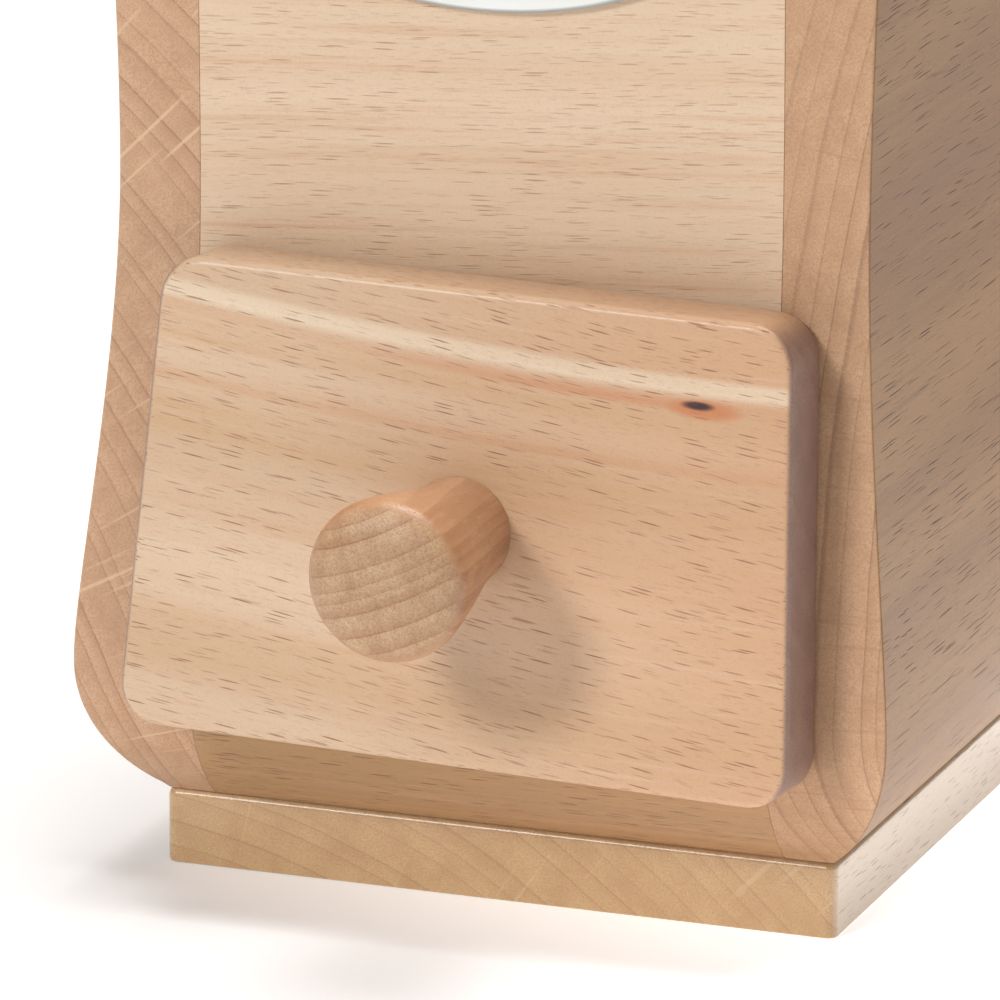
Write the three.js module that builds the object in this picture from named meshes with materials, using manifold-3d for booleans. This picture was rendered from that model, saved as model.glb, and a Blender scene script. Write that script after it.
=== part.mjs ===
// Box coffee mill: a beech box with an ogee outline, a drawer for the grounds, and a pair of
// conical burrs turned by a hand crank. Millimetres: X to the right, front towards -Y, Z up.
// The origin is the centre of the plinth's underside, and the spindle stands on the Z axis.

import * as THREE from 'three';
import { mergeVertices } from 'three/addons/utils/BufferGeometryUtils.js';
import Module from 'manifold-3d';

const wasm = await Module();
wasm.setup();

const DEG = Math.PI / 180;
const FIT = 0.3; // clearance between neighbours that don't meet on a flat axis-aligned face
const PAST = 5; // how far a cutting tool runs past the piece that it cuts

// ---------------------------------------------------------------- driving dimensions

const PLINTH = { width: 100, height: 11, corner: 1.5, chamfer: 1.3 };
const BODY = {
  tuckHalf: 49.8, // half width where the box meets the plinth
  tuckHandle: { out: 5.4, up: 4.2 }, // the ogee leaves the tuck this way
  bulgeHalf: 60, // half width at the widest place, level with the drawer
  bulgeZ: 31.4,
  bulgeHandle: { down: 8.9, up: 11 },
  waistHalf: 54.7,
  waistZ: 103,
  waistHandle: { down: 29, up: 25 },
  brimHalf: 57.6, // half width under the top board
  brimHandle: { back: 1.3, down: 17 },
  topZ: 172,
  innerHalf: 42.5, // half width of the square well inside
};
const PLINTH_SCREW = { x: 45.9, y: 30, depth: 4, head: 3.6, shank: 1.7, length: 26 };
const TOP_BOARD = { width: 122, height: 9, corner: 6, round: 2.5, mouth: 40 };
const OPENING = { bottom: 23, top: 84.5 }; // the drawer's opening between rail and front panel
const RUNNER = { width: 7, backY: 42 };

const DRAWER = {
  lean: 4.6 * DEG, // the front board leans back, following the bulge
  twist: 1.5 * DEG, // and is glued on slightly askew
  shiftX: 2,
  bottomZ: 25.2,
  height: 66.4,
  topHalf: 45.6,
  bottomHalf: 49.1,
  corner: 6.2,
  thickness: 12.5,
  edge: 1,
  boxTop: 80,
  wall: 5,
  backY: 41,
  floorZ: 27,
  floorHeight: 3,
  side: 0.5, // clearance beside the box
};
const DRAWER_KNOB = { x: 1.8, z: 59, length: 30.5, head: 11.3, base: 7.6 };
const KNOB_SCREW = { shank: 1.8, head: 4, length: 24 };

const BADGE = {
  halfWidth: 33,
  halfHeight: 15.1,
  centreZ: 143.5,
  thickness: 1.2,
  edge: 0.4,
  pinX: 28.5,
  pinRadius: 0.5,
};

const DECK = BODY.topZ + TOP_BOARD.height;
const HOPPER = { flange: 54, sheet: 1, wall: 1.2, spout: 16.5, spoutTop: 148, spoutBottom: 141 };
const DOME = { radius: 44, rise: 34, wall: 1.2, neck: 7.4 };
const WINDOW = { centre: -90 * DEG, half: 26 * DEG, inner: 19, outer: 38.5 };
const SHUTTER = { gap: 0.4, wall: 1, half: 34 * DEG, ring: 13, outer: 41.3, buttonAt: 35 };
const BUSH = { bottom: 212, flangeZ: 218.6, top: 220.5, flange: 10, neck: 7, bore: 4.4 };

const BOLT = { circle: 49, radius: 1.75, head: 3.6, headHeight: 2.4, bottom: 132.5, nut: 3.4 };
const PLATE = { x: 83, y: 80, z: 138, height: 2.5, hole: 22.5 };
const OUTER_BURR = { bottom: 116, top: 142, radius: 25, neck: 22, flange: 33, flangeHeight: 3.3 };
const BURR_SCREWS = { circle: 29.5, count: 3, radius: 1.4, head: 2.6 };
const STIRRUP = {
  width: 14,
  bottom: 103,
  bar: 3,
  leg: 33.5,
  sheet: 2.5,
  foot: 41.5,
  boss: 7,
  bossHeight: 3.5,
};
const SPINDLE = { radius: 4, bottom: 114.2, shoulder: 221, square: 5.6, stud: 2.8, top: 229.8 };
const INNER_BURR = { bottom: 116.5, top: 142, hub: 7.6 };
const FLUTES = { teeth: 18, depth: 1.4, twist: 0.05 }; // twist in radians per millimetre of height
const PIN = { z: 138.6, radius: 1.2, half: 6.6 };
const ADJUSTER = { radius: 3.5, bottom: 88.5, top: 108.4, wheel: 14, wheelHeight: 6, ridges: 20 };
const BALL = { radius: 2.6, z: 111.3 };
const SPRING = {
  bottom: 190.2,
  top: 211.6,
  radius: 6.2,
  wire: 0.8, // radius of the wire
  turns: 6,
  closeEnds: 0.09, // how much closer the end turns lie
  collar: 8,
  collarHeight: 3.1,
};
const CRANK = {
  reach: 105,
  hubZ: 222,
  endZ: 214,
  thickness: 3.2,
  hubRadius: 10,
  endRadius: 7.5,
  bendStart: 16,
  bendEnd: 46,
  bend: { soften: 5, sag: 1.4, lead: 1 }, // how the two bends in the arm are rounded
};
const CRANK_KNOB = { height: 42, radius: 15.5, bore: 3.1, pin: 2.7 };

// ---------------------------------------------------------------- solids

/** A manifold solid from a closed three.js geometry. */
function solid(geometry) {
  const bare = geometry.clone();
  bare.deleteAttribute('normal');
  bare.deleteAttribute('uv');
  const merged = mergeVertices(bare, 1e-5);
  const mesh = new wasm.Mesh({
    numProp: 3,
    vertProperties: new Float32Array(merged.attributes.position.array),
    triVerts: new Uint32Array(merged.index.array),
  });
  return new wasm.Manifold(mesh);
}

/** A three.js geometry from a manifold solid. */
function geometryOf(body) {
  const mesh = body.getMesh();
  const geometry = new THREE.BufferGeometry();
  geometry.setAttribute('position', new THREE.BufferAttribute(mesh.vertProperties.slice(), 3));
  geometry.setIndex(new THREE.BufferAttribute(mesh.triVerts.slice(), 1));
  return geometry;
}

/** The first geometry with the others taken away. */
function cut(base, ...tools) {
  return geometryOf(tools.reduce((body, tool) => body.subtract(solid(tool)), solid(base)));
}

/** The geometries joined into one solid. */
function join(base, ...others) {
  return geometryOf(others.reduce((body, other) => body.add(solid(other)), solid(base)));
}

/** What the two geometries have in common. */
function common(a, b) {
  return geometryOf(solid(a).intersect(solid(b)));
}

/** A box between two corners. */
function box(x0, x1, y0, y1, z0, z1) {
  const geometry = new THREE.BoxGeometry(x1 - x0, y1 - y0, z1 - z0);
  return geometry.translate((x0 + x1) / 2, (y0 + y1) / 2, (z0 + z1) / 2);
}

/** An upright cylinder between two heights. */
function rod(radius, z0, z1, sides = 24, x = 0, y = 0) {
  const geometry = new THREE.CylinderGeometry(radius, radius, z1 - z0, sides);
  return geometry.rotateX(Math.PI / 2).translate(x, y, (z0 + z1) / 2);
}

/** A turned solid about Z from [radius, z] corners; the profile closes on itself or the axis. */
function turned(corners, sides = 32) {
  const points = corners.map(([radius, z]) => new THREE.Vector2(radius, z));
  const onAxis = corners[0][0] === 0 && corners.at(-1)[0] === 0;
  if (!onAxis) points.push(points[0].clone());
  const geometry = new THREE.LatheGeometry(points, sides).rotateX(Math.PI / 2);
  const body = solid(geometry);
  if (body.volume() > 0) return geometryOf(body);
  const flipped = new THREE.LatheGeometry(points.reverse(), sides).rotateX(Math.PI / 2);
  return geometryOf(solid(flipped));
}

/** A flat outline in XZ, extruded along Y between two places. */
function slabXZ(shape, y0, y1, curveSegments = 8) {
  const geometry = new THREE.ExtrudeGeometry(shape, {
    depth: y1 - y0,
    bevelEnabled: false,
    curveSegments,
  });
  return geometry.rotateX(Math.PI / 2).translate(0, y1, 0);
}

/** A flat outline in XY, extruded upwards between two heights. */
function slabXY(shape, z0, z1, curveSegments = 8) {
  const options = { depth: z1 - z0, bevelEnabled: false, curveSegments };
  return new THREE.ExtrudeGeometry(shape, options).translate(0, 0, z0);
}

/** A closed outline through [a, b] corners. */
function outline(corners) {
  return new THREE.Shape(corners.map(([a, b]) => new THREE.Vector2(a, b)));
}

/** A rectangle about the origin with round corners. */
function roundedRectangle(width, depth, radius) {
  const x = width / 2;
  const y = depth / 2;
  const shape = new THREE.Shape();
  shape.moveTo(-x + radius, -y);
  shape.lineTo(x - radius, -y);
  shape.absarc(x - radius, -y + radius, radius, -90 * DEG, 0);
  shape.lineTo(x, y - radius);
  shape.absarc(x - radius, y - radius, radius, 0, 90 * DEG);
  shape.lineTo(-x + radius, y);
  shape.absarc(-x + radius, y - radius, radius, 90 * DEG, 180 * DEG);
  shape.lineTo(-x, -y + radius);
  shape.absarc(-x + radius, -y + radius, radius, 180 * DEG, 270 * DEG);
  return shape;
}

/** Stacks rings of [x, y, z] points, all of one length, into a closed solid. */
function loft(rings) {
  const count = rings[0].length;
  const points = rings.flat(2);
  const first = points.length / 3;
  const last = first + 1;
  const middle = (ring) => [0, 0, ring[0][2]];
  points.push(...middle(rings[0]), ...middle(rings.at(-1)));
  const faces = [];
  for (let i = 0; i < count; i += 1) {
    const j = (i + 1) % count;
    for (let level = 0; level < rings.length - 1; level += 1) {
      const low = level * count;
      const high = low + count;
      faces.push(low + i, low + j, high + j, low + i, high + j, high + i);
    }
    const end = (rings.length - 1) * count;
    faces.push(first, j, i, last, end + i, end + j);
  }
  const geometry = new THREE.BufferGeometry();
  geometry.setAttribute('position', new THREE.Float32BufferAttribute(points, 3));
  geometry.setIndex(faces);
  return geometry;
}

/** Places at equal turns on a circle about Z. */
function around(count, radius, start = 0) {
  return Array.from({ length: count }, (_, i) => {
    const angle = start + (i * 2 * Math.PI) / count;
    return { x: radius * Math.cos(angle), y: radius * Math.sin(angle), angle };
  });
}

// ---------------------------------------------------------------- materials and assembly

const FINISH = {
  beech: { color: 0xd9bb97, roughness: 0.55, metalness: 0 },
  beechEnd: { color: 0xc59c72, roughness: 0.6, metalness: 0 },
  plywood: { color: 0xcaa87e, roughness: 0.7, metalness: 0 },
  enamel: { color: 0xf2f4f2, roughness: 0.2, metalness: 0 },
  steel: { color: 0x9a9c9e, roughness: 0.35, metalness: 1 },
  chrome: { color: 0xd6d8da, roughness: 0.12, metalness: 1 },
  iron: { color: 0x4b4b4d, roughness: 0.6, metalness: 0.8 },
  brass: { color: 0xc9a24e, roughness: 0.3, metalness: 1 },
  tin: { color: 0xb9bbbd, roughness: 0.3, metalness: 1 },
};

/** Adds a named mesh with a material of its own to a group. */
function add(group, name, finish, geometry) {
  const mesh = new THREE.Mesh(geometry, new THREE.MeshStandardMaterial(FINISH[finish]));
  mesh.name = name;
  group.add(mesh);
  return mesh;
}

const mill = new THREE.Group();

// ---------------------------------------------------------------- the box

/** The ogee of the box's right face, drawn upwards from the plinth. */
function ogeePath() {
  const { tuckHalf, bulgeHalf, bulgeZ, waistHalf, waistZ, brimHalf, topZ } = BODY;
  const { tuckHandle, bulgeHandle, waistHandle, brimHandle } = BODY;
  const base = PLINTH.height;
  const path = new THREE.Path();
  path.moveTo(tuckHalf, base);
  path.bezierCurveTo(
    tuckHalf + tuckHandle.out, base + tuckHandle.up,
    bulgeHalf, bulgeZ - bulgeHandle.down,
    bulgeHalf, bulgeZ,
  );
  path.bezierCurveTo(
    bulgeHalf, bulgeZ + bulgeHandle.up,
    waistHalf, waistZ - waistHandle.down,
    waistHalf, waistZ,
  );
  path.bezierCurveTo(
    waistHalf, waistZ + waistHandle.up,
    brimHalf - brimHandle.back, topZ - brimHandle.down,
    brimHalf, topZ,
  );
  return path;
}

/** The half width of the box at a height, read off the ogee. */
function halfWidthAt(z) {
  const points = ogeePath().getPoints(60);
  const above = points.findIndex((point) => point.y >= z);
  const low = points[above - 1];
  const high = points[above];
  return low.x + ((high.x - low.x) * (z - low.y)) / (high.y - low.y);
}

/** A prism with the ogee on two opposite faces. */
function ogeePrism() {
  const edge = ogeePath().getPoints(8);
  const mirrored = edge.map((point) => new THREE.Vector2(-point.x, point.y)).reverse();
  const reach = BODY.bulgeHalf + PAST;
  return slabXZ(new THREE.Shape([...edge, ...mirrored]), -reach, reach);
}

/** The four boards, cut from one block that has the same ogee on every face. */
function addBox() {
  const { innerHalf, topZ, bulgeHalf } = BODY;
  const far = bulgeHalf + PAST;
  const base = PLINTH.height;
  const block = common(ogeePrism(), ogeePrism().rotateZ(90 * DEG));
  add(mill, 'left_side', 'beech', common(block, box(-far, -innerHalf, -far, far, base, topZ)));
  add(mill, 'right_side', 'beech', common(block, box(innerHalf, far, -far, far, base, topZ)));
  const front = box(-innerHalf, innerHalf, -far, -innerHalf, OPENING.top, topZ);
  add(mill, 'front_panel', 'beech', common(block, front));
  const rail = box(-innerHalf, innerHalf, -far, -innerHalf, base, OPENING.bottom);
  add(mill, 'front_rail', 'beech', common(block, rail));
  const back = box(-innerHalf, innerHalf, innerHalf, far, base, topZ);
  add(mill, 'back_panel', 'beech', common(block, back));
}

/** The plinth with its chamfered top edge, and the four screws that hold it from below. */
function addPlinth() {
  const { width, height, corner, chamfer } = PLINTH;
  const board = new THREE.ExtrudeGeometry(roundedRectangle(width, width, corner), {
    depth: height,
    bevelEnabled: true,
    bevelSegments: 1,
    bevelSize: chamfer,
    bevelOffset: -chamfer,
    bevelThickness: chamfer,
    curveSegments: 3,
  }).translate(0, 0, -chamfer);
  const { depth, head, shank, length } = PLINTH_SCREW;
  const corners = [[1, 1], [-1, 1], [-1, -1], [1, -1]].map(([right, back]) => ({
    x: right * PLINTH_SCREW.x,
    y: back * PLINTH_SCREW.y,
  }));
  const holes = corners.flatMap(({ x, y }) => [
    rod(head + FIT, -1, depth, 16, x, y),
    rod(shank + FIT, 0, height + 1, 12, x, y),
  ]);
  const under = box(-width, width, -width, width, -PAST, 0);
  add(mill, 'base_plinth', 'beechEnd', cut(board, under, ...holes));
  for (const name of ['left_side', 'right_side']) {
    const side = mill.getObjectByName(name);
    const bores = corners.map(({ x, y }) => rod(shank + FIT, 0, length + FIT, 12, x, y));
    side.geometry = cut(side.geometry, ...bores);
  }
  corners.forEach(({ x, y }, i) => {
    const profile = [[0, 1.2], [head - 1, 1.2], [head, 2], [head, 2.6], [shank, depth],
      [shank, length - 3], [0, length]];
    const screw = cut(turned(profile, 12), box(-0.5, 0.5, -head, head, 0, 2));
    add(mill, `plinth_screw_${i + 1}`, 'steel', screw).position.set(x, y, 0);
  });
}

/** Two strips that the drawer runs on, glued inside the sides. */
function addRunners() {
  const { innerHalf } = BODY;
  const { width, backY } = RUNNER;
  for (const [name, sign] of [['runner_left', -1], ['runner_right', 1]]) {
    const near = sign * innerHalf;
    const far = sign * (innerHalf - width);
    const x = [near, far].sort((a, b) => a - b);
    const strip = box(x[0], x[1], -innerHalf, backY, PLINTH.height, OPENING.bottom);
    add(mill, name, 'beech', strip);
  }
}

/** The board that carries the mechanism, with the hopper's mouth and four bolt holes. */
function addTopBoard() {
  const { width, height, corner, round, mouth } = TOP_BOARD;
  const board = new THREE.ExtrudeGeometry(roundedRectangle(width, width, corner), {
    depth: height - 2 * round,
    bevelEnabled: true,
    bevelSegments: 2,
    bevelSize: round,
    bevelOffset: -round,
    bevelThickness: round,
    curveSegments: 3,
  }).translate(0, 0, BODY.topZ + round);
  const [low, high] = [BODY.topZ - PAST, DECK + PAST];
  add(mill, 'top_board', 'beech', cut(board, rod(mouth, low, high, 36), ...boltHoles(low, high)));
}

/** An oval enamel badge on the front panel, with its two pins. */
function addBadge() {
  const { halfWidth, halfHeight, centreZ, thickness, edge, pinX, pinRadius } = BADGE;
  const lowY = -halfWidthAt(centreZ - halfHeight);
  const highY = -halfWidthAt(centreZ + halfHeight);
  const tilt = Math.atan2(highY - lowY, 2 * halfHeight);
  const holder = new THREE.Group();
  holder.position.set(0, (lowY + highY) / 2 - FIT, centreZ);
  holder.rotation.x = -tilt;
  mill.add(holder);
  const oval = new THREE.Shape();
  oval.absellipse(0, 0, halfWidth, halfHeight, 0, 2 * Math.PI);
  const plate = new THREE.ExtrudeGeometry(oval, {
    depth: thickness - edge,
    bevelEnabled: true,
    bevelSegments: 1,
    bevelSize: edge,
    bevelOffset: -edge,
    bevelThickness: edge,
    curveSegments: 20,
  }).rotateX(90 * DEG);
  const bores = [-pinX, pinX].map((x) => {
    const bore = rod(pinRadius + FIT, -PAST, PAST, 8);
    return bore.rotateX(90 * DEG).translate(x, 0, 0);
  });
  const behind = box(-halfWidth, halfWidth, 0, PAST, -halfHeight, halfHeight);
  add(holder, 'oval_badge', 'enamel', cut(plate, behind, ...bores));
  const head = thickness + FIT;
  for (const [name, x] of [['badge_pin_left', -pinX], ['badge_pin_right', pinX]]) {
    const profile = [[0, 0.25], [pinRadius, 0.25], [pinRadius, head], [1.3, head],
      [0.9, head + 0.6], [0, head + 0.8]];
    const pin = turned(profile, 10).rotateX(90 * DEG);
    add(holder, name, 'brass', pin).position.x = x;
  }
}

// ---------------------------------------------------------------- hopper, dome and shutter

/** The four places of the bolts that hold the dome, the hopper and the plate together. */
function boltPlaces() {
  return around(4, BOLT.circle, 45 * DEG);
}

/** The bolts' clearance holes between two heights. */
function boltHoles(z0, z1) {
  return boltPlaces().map(({ x, y }) => rod(BOLT.radius + FIT, z0, z1, 12, x, y));
}

/** Points [radius, z] on the dome's curve, offset outwards, from the rim up to a radius. */
function domeCurve(offset, innerRadius, outerRadius = Infinity, steps = 7) {
  const a = DOME.radius + offset;
  const b = DOME.rise + offset;
  const start = outerRadius < a ? Math.acos(outerRadius / a) : 0;
  const end = Math.acos(innerRadius / a);
  return Array.from({ length: steps + 1 }, (_, i) => {
    const t = start + ((end - start) * i) / steps;
    return [a * Math.cos(t), DECK + HOPPER.sheet + DOME.wall + b * Math.sin(t)];
  });
}

/** The two heights between which a tool cuts the dome and misses its rim. */
function aboveRim() {
  return [DECK + 5, DECK + DOME.rise + 4 * PAST];
}

/** An upright wedge about the axis, between two radii, centred on an angle. */
function wedge(centre, half, inner, outer) {
  const shape = new THREE.Shape();
  shape.absarc(0, 0, outer, centre - half, centre + half);
  shape.absarc(0, 0, inner, centre + half, centre - half, true);
  return slabXY(shape, ...aboveRim(), 6);
}

/** The sheet hopper that hangs in the top board's mouth and feeds the burrs. */
function addHopper() {
  const { flange, sheet, wall, spout, spoutTop, spoutBottom } = HOPPER;
  const mouth = TOP_BOARD.mouth - FIT;
  const profile = [[flange, DECK], [mouth, DECK], [spout, spoutTop], [spout, spoutBottom],
    [spout - wall, spoutBottom], [spout - wall, spoutTop + 0.5], [mouth - wall - 0.4, DECK + sheet],
    [flange, DECK + sheet]];
  const holes = boltHoles(DECK - PAST, DECK + PAST);
  add(mill, 'hopper_funnel', 'tin', cut(turned(profile, 36), ...holes));
}

/** The dome with its filling window, the bush in its crown and the four bolts in its rim. */
function addDome() {
  const rimZ = DECK + HOPPER.sheet;
  const outer = domeCurve(0, DOME.neck);
  const inner = domeCurve(-DOME.wall, DOME.neck).reverse();
  const foot = [[inner.at(-1)[0], rimZ], [HOPPER.flange, rimZ], [HOPPER.flange, rimZ + DOME.wall]];
  const holes = boltHoles(DECK - PAST, DECK + PAST);
  const opening = wedge(WINDOW.centre, WINDOW.half, WINDOW.inner, WINDOW.outer);
  const shell = turned([...outer, ...inner, ...foot], 36);
  add(mill, 'dome_cover', 'chrome', cut(shell, opening, ...holes));
  const { bottom, flangeZ, top, flange, neck, bore } = BUSH;
  const bush = [[bore, bottom], [neck, bottom], [neck, flangeZ], [flange, flangeZ],
    [flange, top - 0.6], [flange - 0.6, top], [bore, top]];
  add(mill, 'spindle_bush', 'brass', turned(bush, 24));
  boltPlaces().forEach(({ x, y }, i) => {
    const seat = rimZ + DOME.wall;
    const crown = seat + BOLT.headHeight;
    const profile = [[0, BOLT.bottom], [BOLT.radius, BOLT.bottom], [BOLT.radius, seat],
      [BOLT.head, seat], [BOLT.head, crown - 1], [BOLT.head - 1, crown], [0, crown]];
    const slot = box(-0.5, 0.5, -PAST, PAST, crown - 1, crown + 1);
    add(mill, `flange_bolt_${i + 1}`, 'steel', cut(turned(profile, 12), slot)).position.set(x, y, 0);
  });
}

/** The curved shutter that turns about the bush to open the filling window, and its button. */
function addShutter() {
  const { gap, wall, half, ring, outer, buttonAt } = SHUTTER;
  const low = domeCurve(gap, DOME.neck + FIT, outer);
  const high = domeCurve(gap + wall, DOME.neck + FIT, outer).reverse();
  const keep = join(
    wedge(WINDOW.centre, half, ring - 1, outer + PAST),
    rod(ring, ...aboveRim(), 24),
  );
  add(mill, 'fill_shutter', 'chrome', common(turned([...low, ...high], 36), keep));
  const a = DOME.radius + gap + wall;
  const b = DOME.rise + gap + wall;
  const t = Math.acos(buttonAt / a);
  const z = DECK + HOPPER.sheet + DOME.wall + b * Math.sin(t);
  const profile = [[0, FIT], [1.6, FIT], [1.6, 2.6], [3.4, 3.6], [3.6, 4.8], [2.4, 5.8], [0, 6.1]];
  const button = add(mill, 'shutter_button', 'brass', turned(profile, 20));
  button.position.set(0, -buttonAt, z);
  button.rotation.x = Math.atan2(Math.cos(t) / a, Math.sin(t) / b);
}

// ---------------------------------------------------------------- grinding mechanism

/** The steel plate hung from the top board by the four bolts, with their nuts. */
function addPlate() {
  const { x, y, z, height, hole } = PLATE;
  const [low, high] = [z - PAST, z + PAST];
  const bore = BURR_SCREWS.radius + FIT;
  const holes = [
    rod(hole, low, high, 32),
    ...boltHoles(low, high),
    ...burrScrewPlaces().map((place) => rod(bore, low, high, 10, place.x, place.y)),
    ...stirrupScrewPlaces().map((placeX) => rod(bore, low, high, 10, placeX)),
  ];
  const sheet = slabXY(roundedRectangle(x, y, 3), z, z + height, 3);
  add(mill, 'support_plate', 'steel', cut(sheet, ...holes));
  boltPlaces().forEach((place, i) => {
    const nut = cut(rod(BOLT.nut, z - 3, z, 6), rod(BOLT.radius + FIT, low, high, 12));
    add(mill, `bolt_nut_${i + 1}`, 'steel', nut).position.set(place.x, place.y, 0);
  });
}

/** The places of the screws that hold the outer burr to the plate. */
function burrScrewPlaces() {
  return around(BURR_SCREWS.count, BURR_SCREWS.circle, 90 * DEG);
}

/** The X places of the stirrup's two screws, in the middle of its feet. */
function stirrupScrewPlaces() {
  const place = (STIRRUP.leg + STIRRUP.sheet + STIRRUP.foot) / 2;
  return [-place, place];
}

/** A screw set from below: its head under z0, its shank up to z1. */
function screwFromBelow(z0, z1) {
  const { radius, head } = BURR_SCREWS;
  const profile = [[0, z0 - 1.8], [head - 0.8, z0 - 1.8], [head, z0 - 1], [head, z0], [radius, z0],
    [radius, z1], [0, z1]];
  return cut(turned(profile, 10), box(-0.4, 0.4, -4, 4, z0 - 3, z0 - 1.1));
}

/** Rings of a fluted cone from [radius, z, share of the flutes' depth] levels, wound one way. */
function flutedRings(levels, hand) {
  const { teeth, depth, twist } = FLUTES;
  const valley = { phase: 0, rise: 0 };
  const ridge = { phase: 0.78, rise: depth };
  return levels.map(([radius, z, share = 1]) => {
    const turn = hand * (z - levels[0][1]) * twist;
    return Array.from({ length: teeth }, (_, tooth) => [valley, ridge].map(({ phase, rise }) => {
      const angle = turn + ((tooth + phase) * 2 * Math.PI) / teeth;
      const reach = radius + rise * share;
      return [reach * Math.cos(angle), reach * Math.sin(angle), z];
    })).flat();
  });
}

/** The fixed outer burr with its fluted throat, and the screws that hold it to the plate. */
function addOuterBurr() {
  const { bottom, top, radius, neck, flange, flangeHeight } = OUTER_BURR;
  const underPlate = PLATE.z;
  const shell = turned([[0, bottom], [radius, bottom], [radius, underPlate - flangeHeight],
    [flange, underPlate - flangeHeight], [flange, underPlate], [neck, underPlate], [neck, top],
    [0, top]], 32);
  const levels = [[20.6, bottom - 1], [20.2, bottom], [17.4, bottom + 7], [14.8, bottom + 14],
    [16.4, bottom + 19, 0.6], [17.6, top - 3, 0], [18, top, 0], [18, top + 1, 0]];
  const throat = loft(flutedRings(levels, 1));
  const holes = burrScrewPlaces().map(({ x, y }) => {
    return rod(BURR_SCREWS.radius + FIT, underPlate - flangeHeight - PAST, underPlate + PAST, 10, x, y);
  });
  add(mill, 'outer_burr', 'iron', cut(shell, throat, ...holes));
  burrScrewPlaces().forEach(({ x, y }, i) => {
    const screw = screwFromBelow(underPlate - flangeHeight, underPlate + 4);
    add(mill, `burr_screw_${i + 1}`, 'steel', screw).position.set(x, y, 0);
  });
}

/** The stirrup under the burrs that carries the adjusting screw, and its two screws. */
function addStirrup() {
  const { width, bottom, bar, leg, sheet, foot, boss, bossHeight } = STIRRUP;
  const top = PLATE.z;
  const outerLeg = leg + sheet;
  const half = [[outerLeg, bottom], [outerLeg, top - sheet], [foot, top - sheet], [foot, top],
    [leg, top], [leg, bottom + bar]];
  const mirrored = half.map(([x, z]) => [-x, z]).reverse();
  const strap = slabXZ(outline([...half, ...mirrored]), -width / 2, width / 2);
  const holes = stirrupScrewPlaces().map((x) => {
    return rod(BURR_SCREWS.radius + FIT, top - sheet - PAST, top + PAST, 10, x);
  });
  const bossed = join(strap, rod(boss, bottom - bossHeight, bottom + 1, 24));
  const bore = rod(ADJUSTER.radius + FIT, bottom - 2 * PAST, bottom + 2 * PAST, 24);
  add(mill, 'lower_stirrup', 'steel', cut(bossed, bore, ...holes));
  stirrupScrewPlaces().forEach((x, i) => {
    const screw = screwFromBelow(top - sheet, top + 4);
    add(mill, `stirrup_screw_${i + 1}`, 'steel', screw).position.set(x, 0, 0);
  });
}

/** The adjusting screw, its ridged wheel, and the ball that it lifts the spindle with. */
function addAdjuster() {
  const { radius, bottom, top, wheel, wheelHeight, ridges } = ADJUSTER;
  const screw = [[0, bottom - 1.5], [radius - 0.8, bottom - 1.5], [radius, bottom - 0.7],
    [radius, top - 0.8], [radius - 0.8, top], [0, top]];
  add(mill, 'adjusting_screw', 'steel', turned(screw, 24));
  const ring = (z, reach) => Array.from({ length: ridges * 2 }, (_, i) => {
    const angle = (i * Math.PI) / ridges;
    const r = reach - (i % 2) * 0.8;
    return [r * Math.cos(angle), r * Math.sin(angle), z];
  });
  const levels = [ring(bottom, wheel - 1), ring(bottom + 1, wheel),
    ring(bottom + wheelHeight - 1, wheel), ring(bottom + wheelHeight, wheel - 1)];
  const bore = rod(radius + FIT, bottom - 1, bottom + wheelHeight + 1, 24);
  add(mill, 'adjusting_wheel', 'brass', cut(loft(levels), bore));
  const ball = new THREE.SphereGeometry(BALL.radius, 12, 8);
  add(mill, 'thrust_ball', 'steel', ball).position.z = BALL.z;
}

/** The spindle, with a square for the crank, a stud for the nut and a hole for the burr's pin. */
function addSpindle() {
  const { radius, bottom, shoulder, square, stud, top } = SPINDLE;
  const bar = turned([[0, bottom], [radius - 1, bottom], [radius, bottom + 1], [radius, shoulder],
    [0, shoulder]], 24);
  const s = square / 2;
  const crankSquare = box(-s, s, -s, s, shoulder - 1, CRANK.hubZ + CRANK.thickness - 0.2);
  const whole = join(bar, crankSquare, rod(stud, shoulder, top, 20));
  add(mill, 'spindle', 'steel', cut(whole, pinHole()));
}

/** The hole for the burr's cross pin, along Y through the spindle and the burr. */
function pinHole() {
  const reach = PIN.half + PAST;
  return rod(PIN.radius + FIT, -reach, reach, 10).rotateX(90 * DEG).translate(0, 0, PIN.z);
}

/** The turning inner burr, its cross pin, and the collar and spring that hold the spindle down. */
function addInnerBurr() {
  const { bottom, top, hub } = INNER_BURR;
  const levels = [[17.6, bottom], [15, bottom + 7], [12.4, bottom + 13.5], [9.2, bottom + 18, 0.5],
    [hub, bottom + 20.5, 0], [hub, top, 0]];
  const cone = loft(flutedRings(levels, -1));
  const bore = rod(SPINDLE.radius + FIT, bottom - 1, top + 1, 24);
  add(mill, 'inner_burr', 'iron', cut(cone, bore, pinHole()));
  const pin = rod(PIN.radius, -PIN.half, PIN.half, 10).rotateX(90 * DEG).translate(0, 0, PIN.z);
  add(mill, 'burr_pin', 'steel', pin);
  const inner = SPINDLE.radius + FIT;
  const collarTop = SPRING.bottom - FIT;
  const collarFoot = collarTop - SPRING.collarHeight;
  const collar = [[inner, collarFoot], [SPRING.collar, collarFoot], [SPRING.collar, collarTop],
    [inner, collarTop]];
  add(mill, 'spring_collar', 'steel', turned(collar, 24));
}

/** The coil's centre line, whose end turns lie close. */
class Coil extends THREE.Curve {
  getPoint(t, target = new THREE.Vector3()) {
    const { bottom, top, radius, wire, turns, closeEnds } = SPRING;
    const angle = t * turns * 2 * Math.PI;
    const eased = t - closeEnds * Math.sin(2 * Math.PI * t);
    const z = bottom + wire + (top - bottom - 2 * wire) * eased;
    return target.set(radius * Math.cos(angle), radius * Math.sin(angle), z);
  }
}

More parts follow.
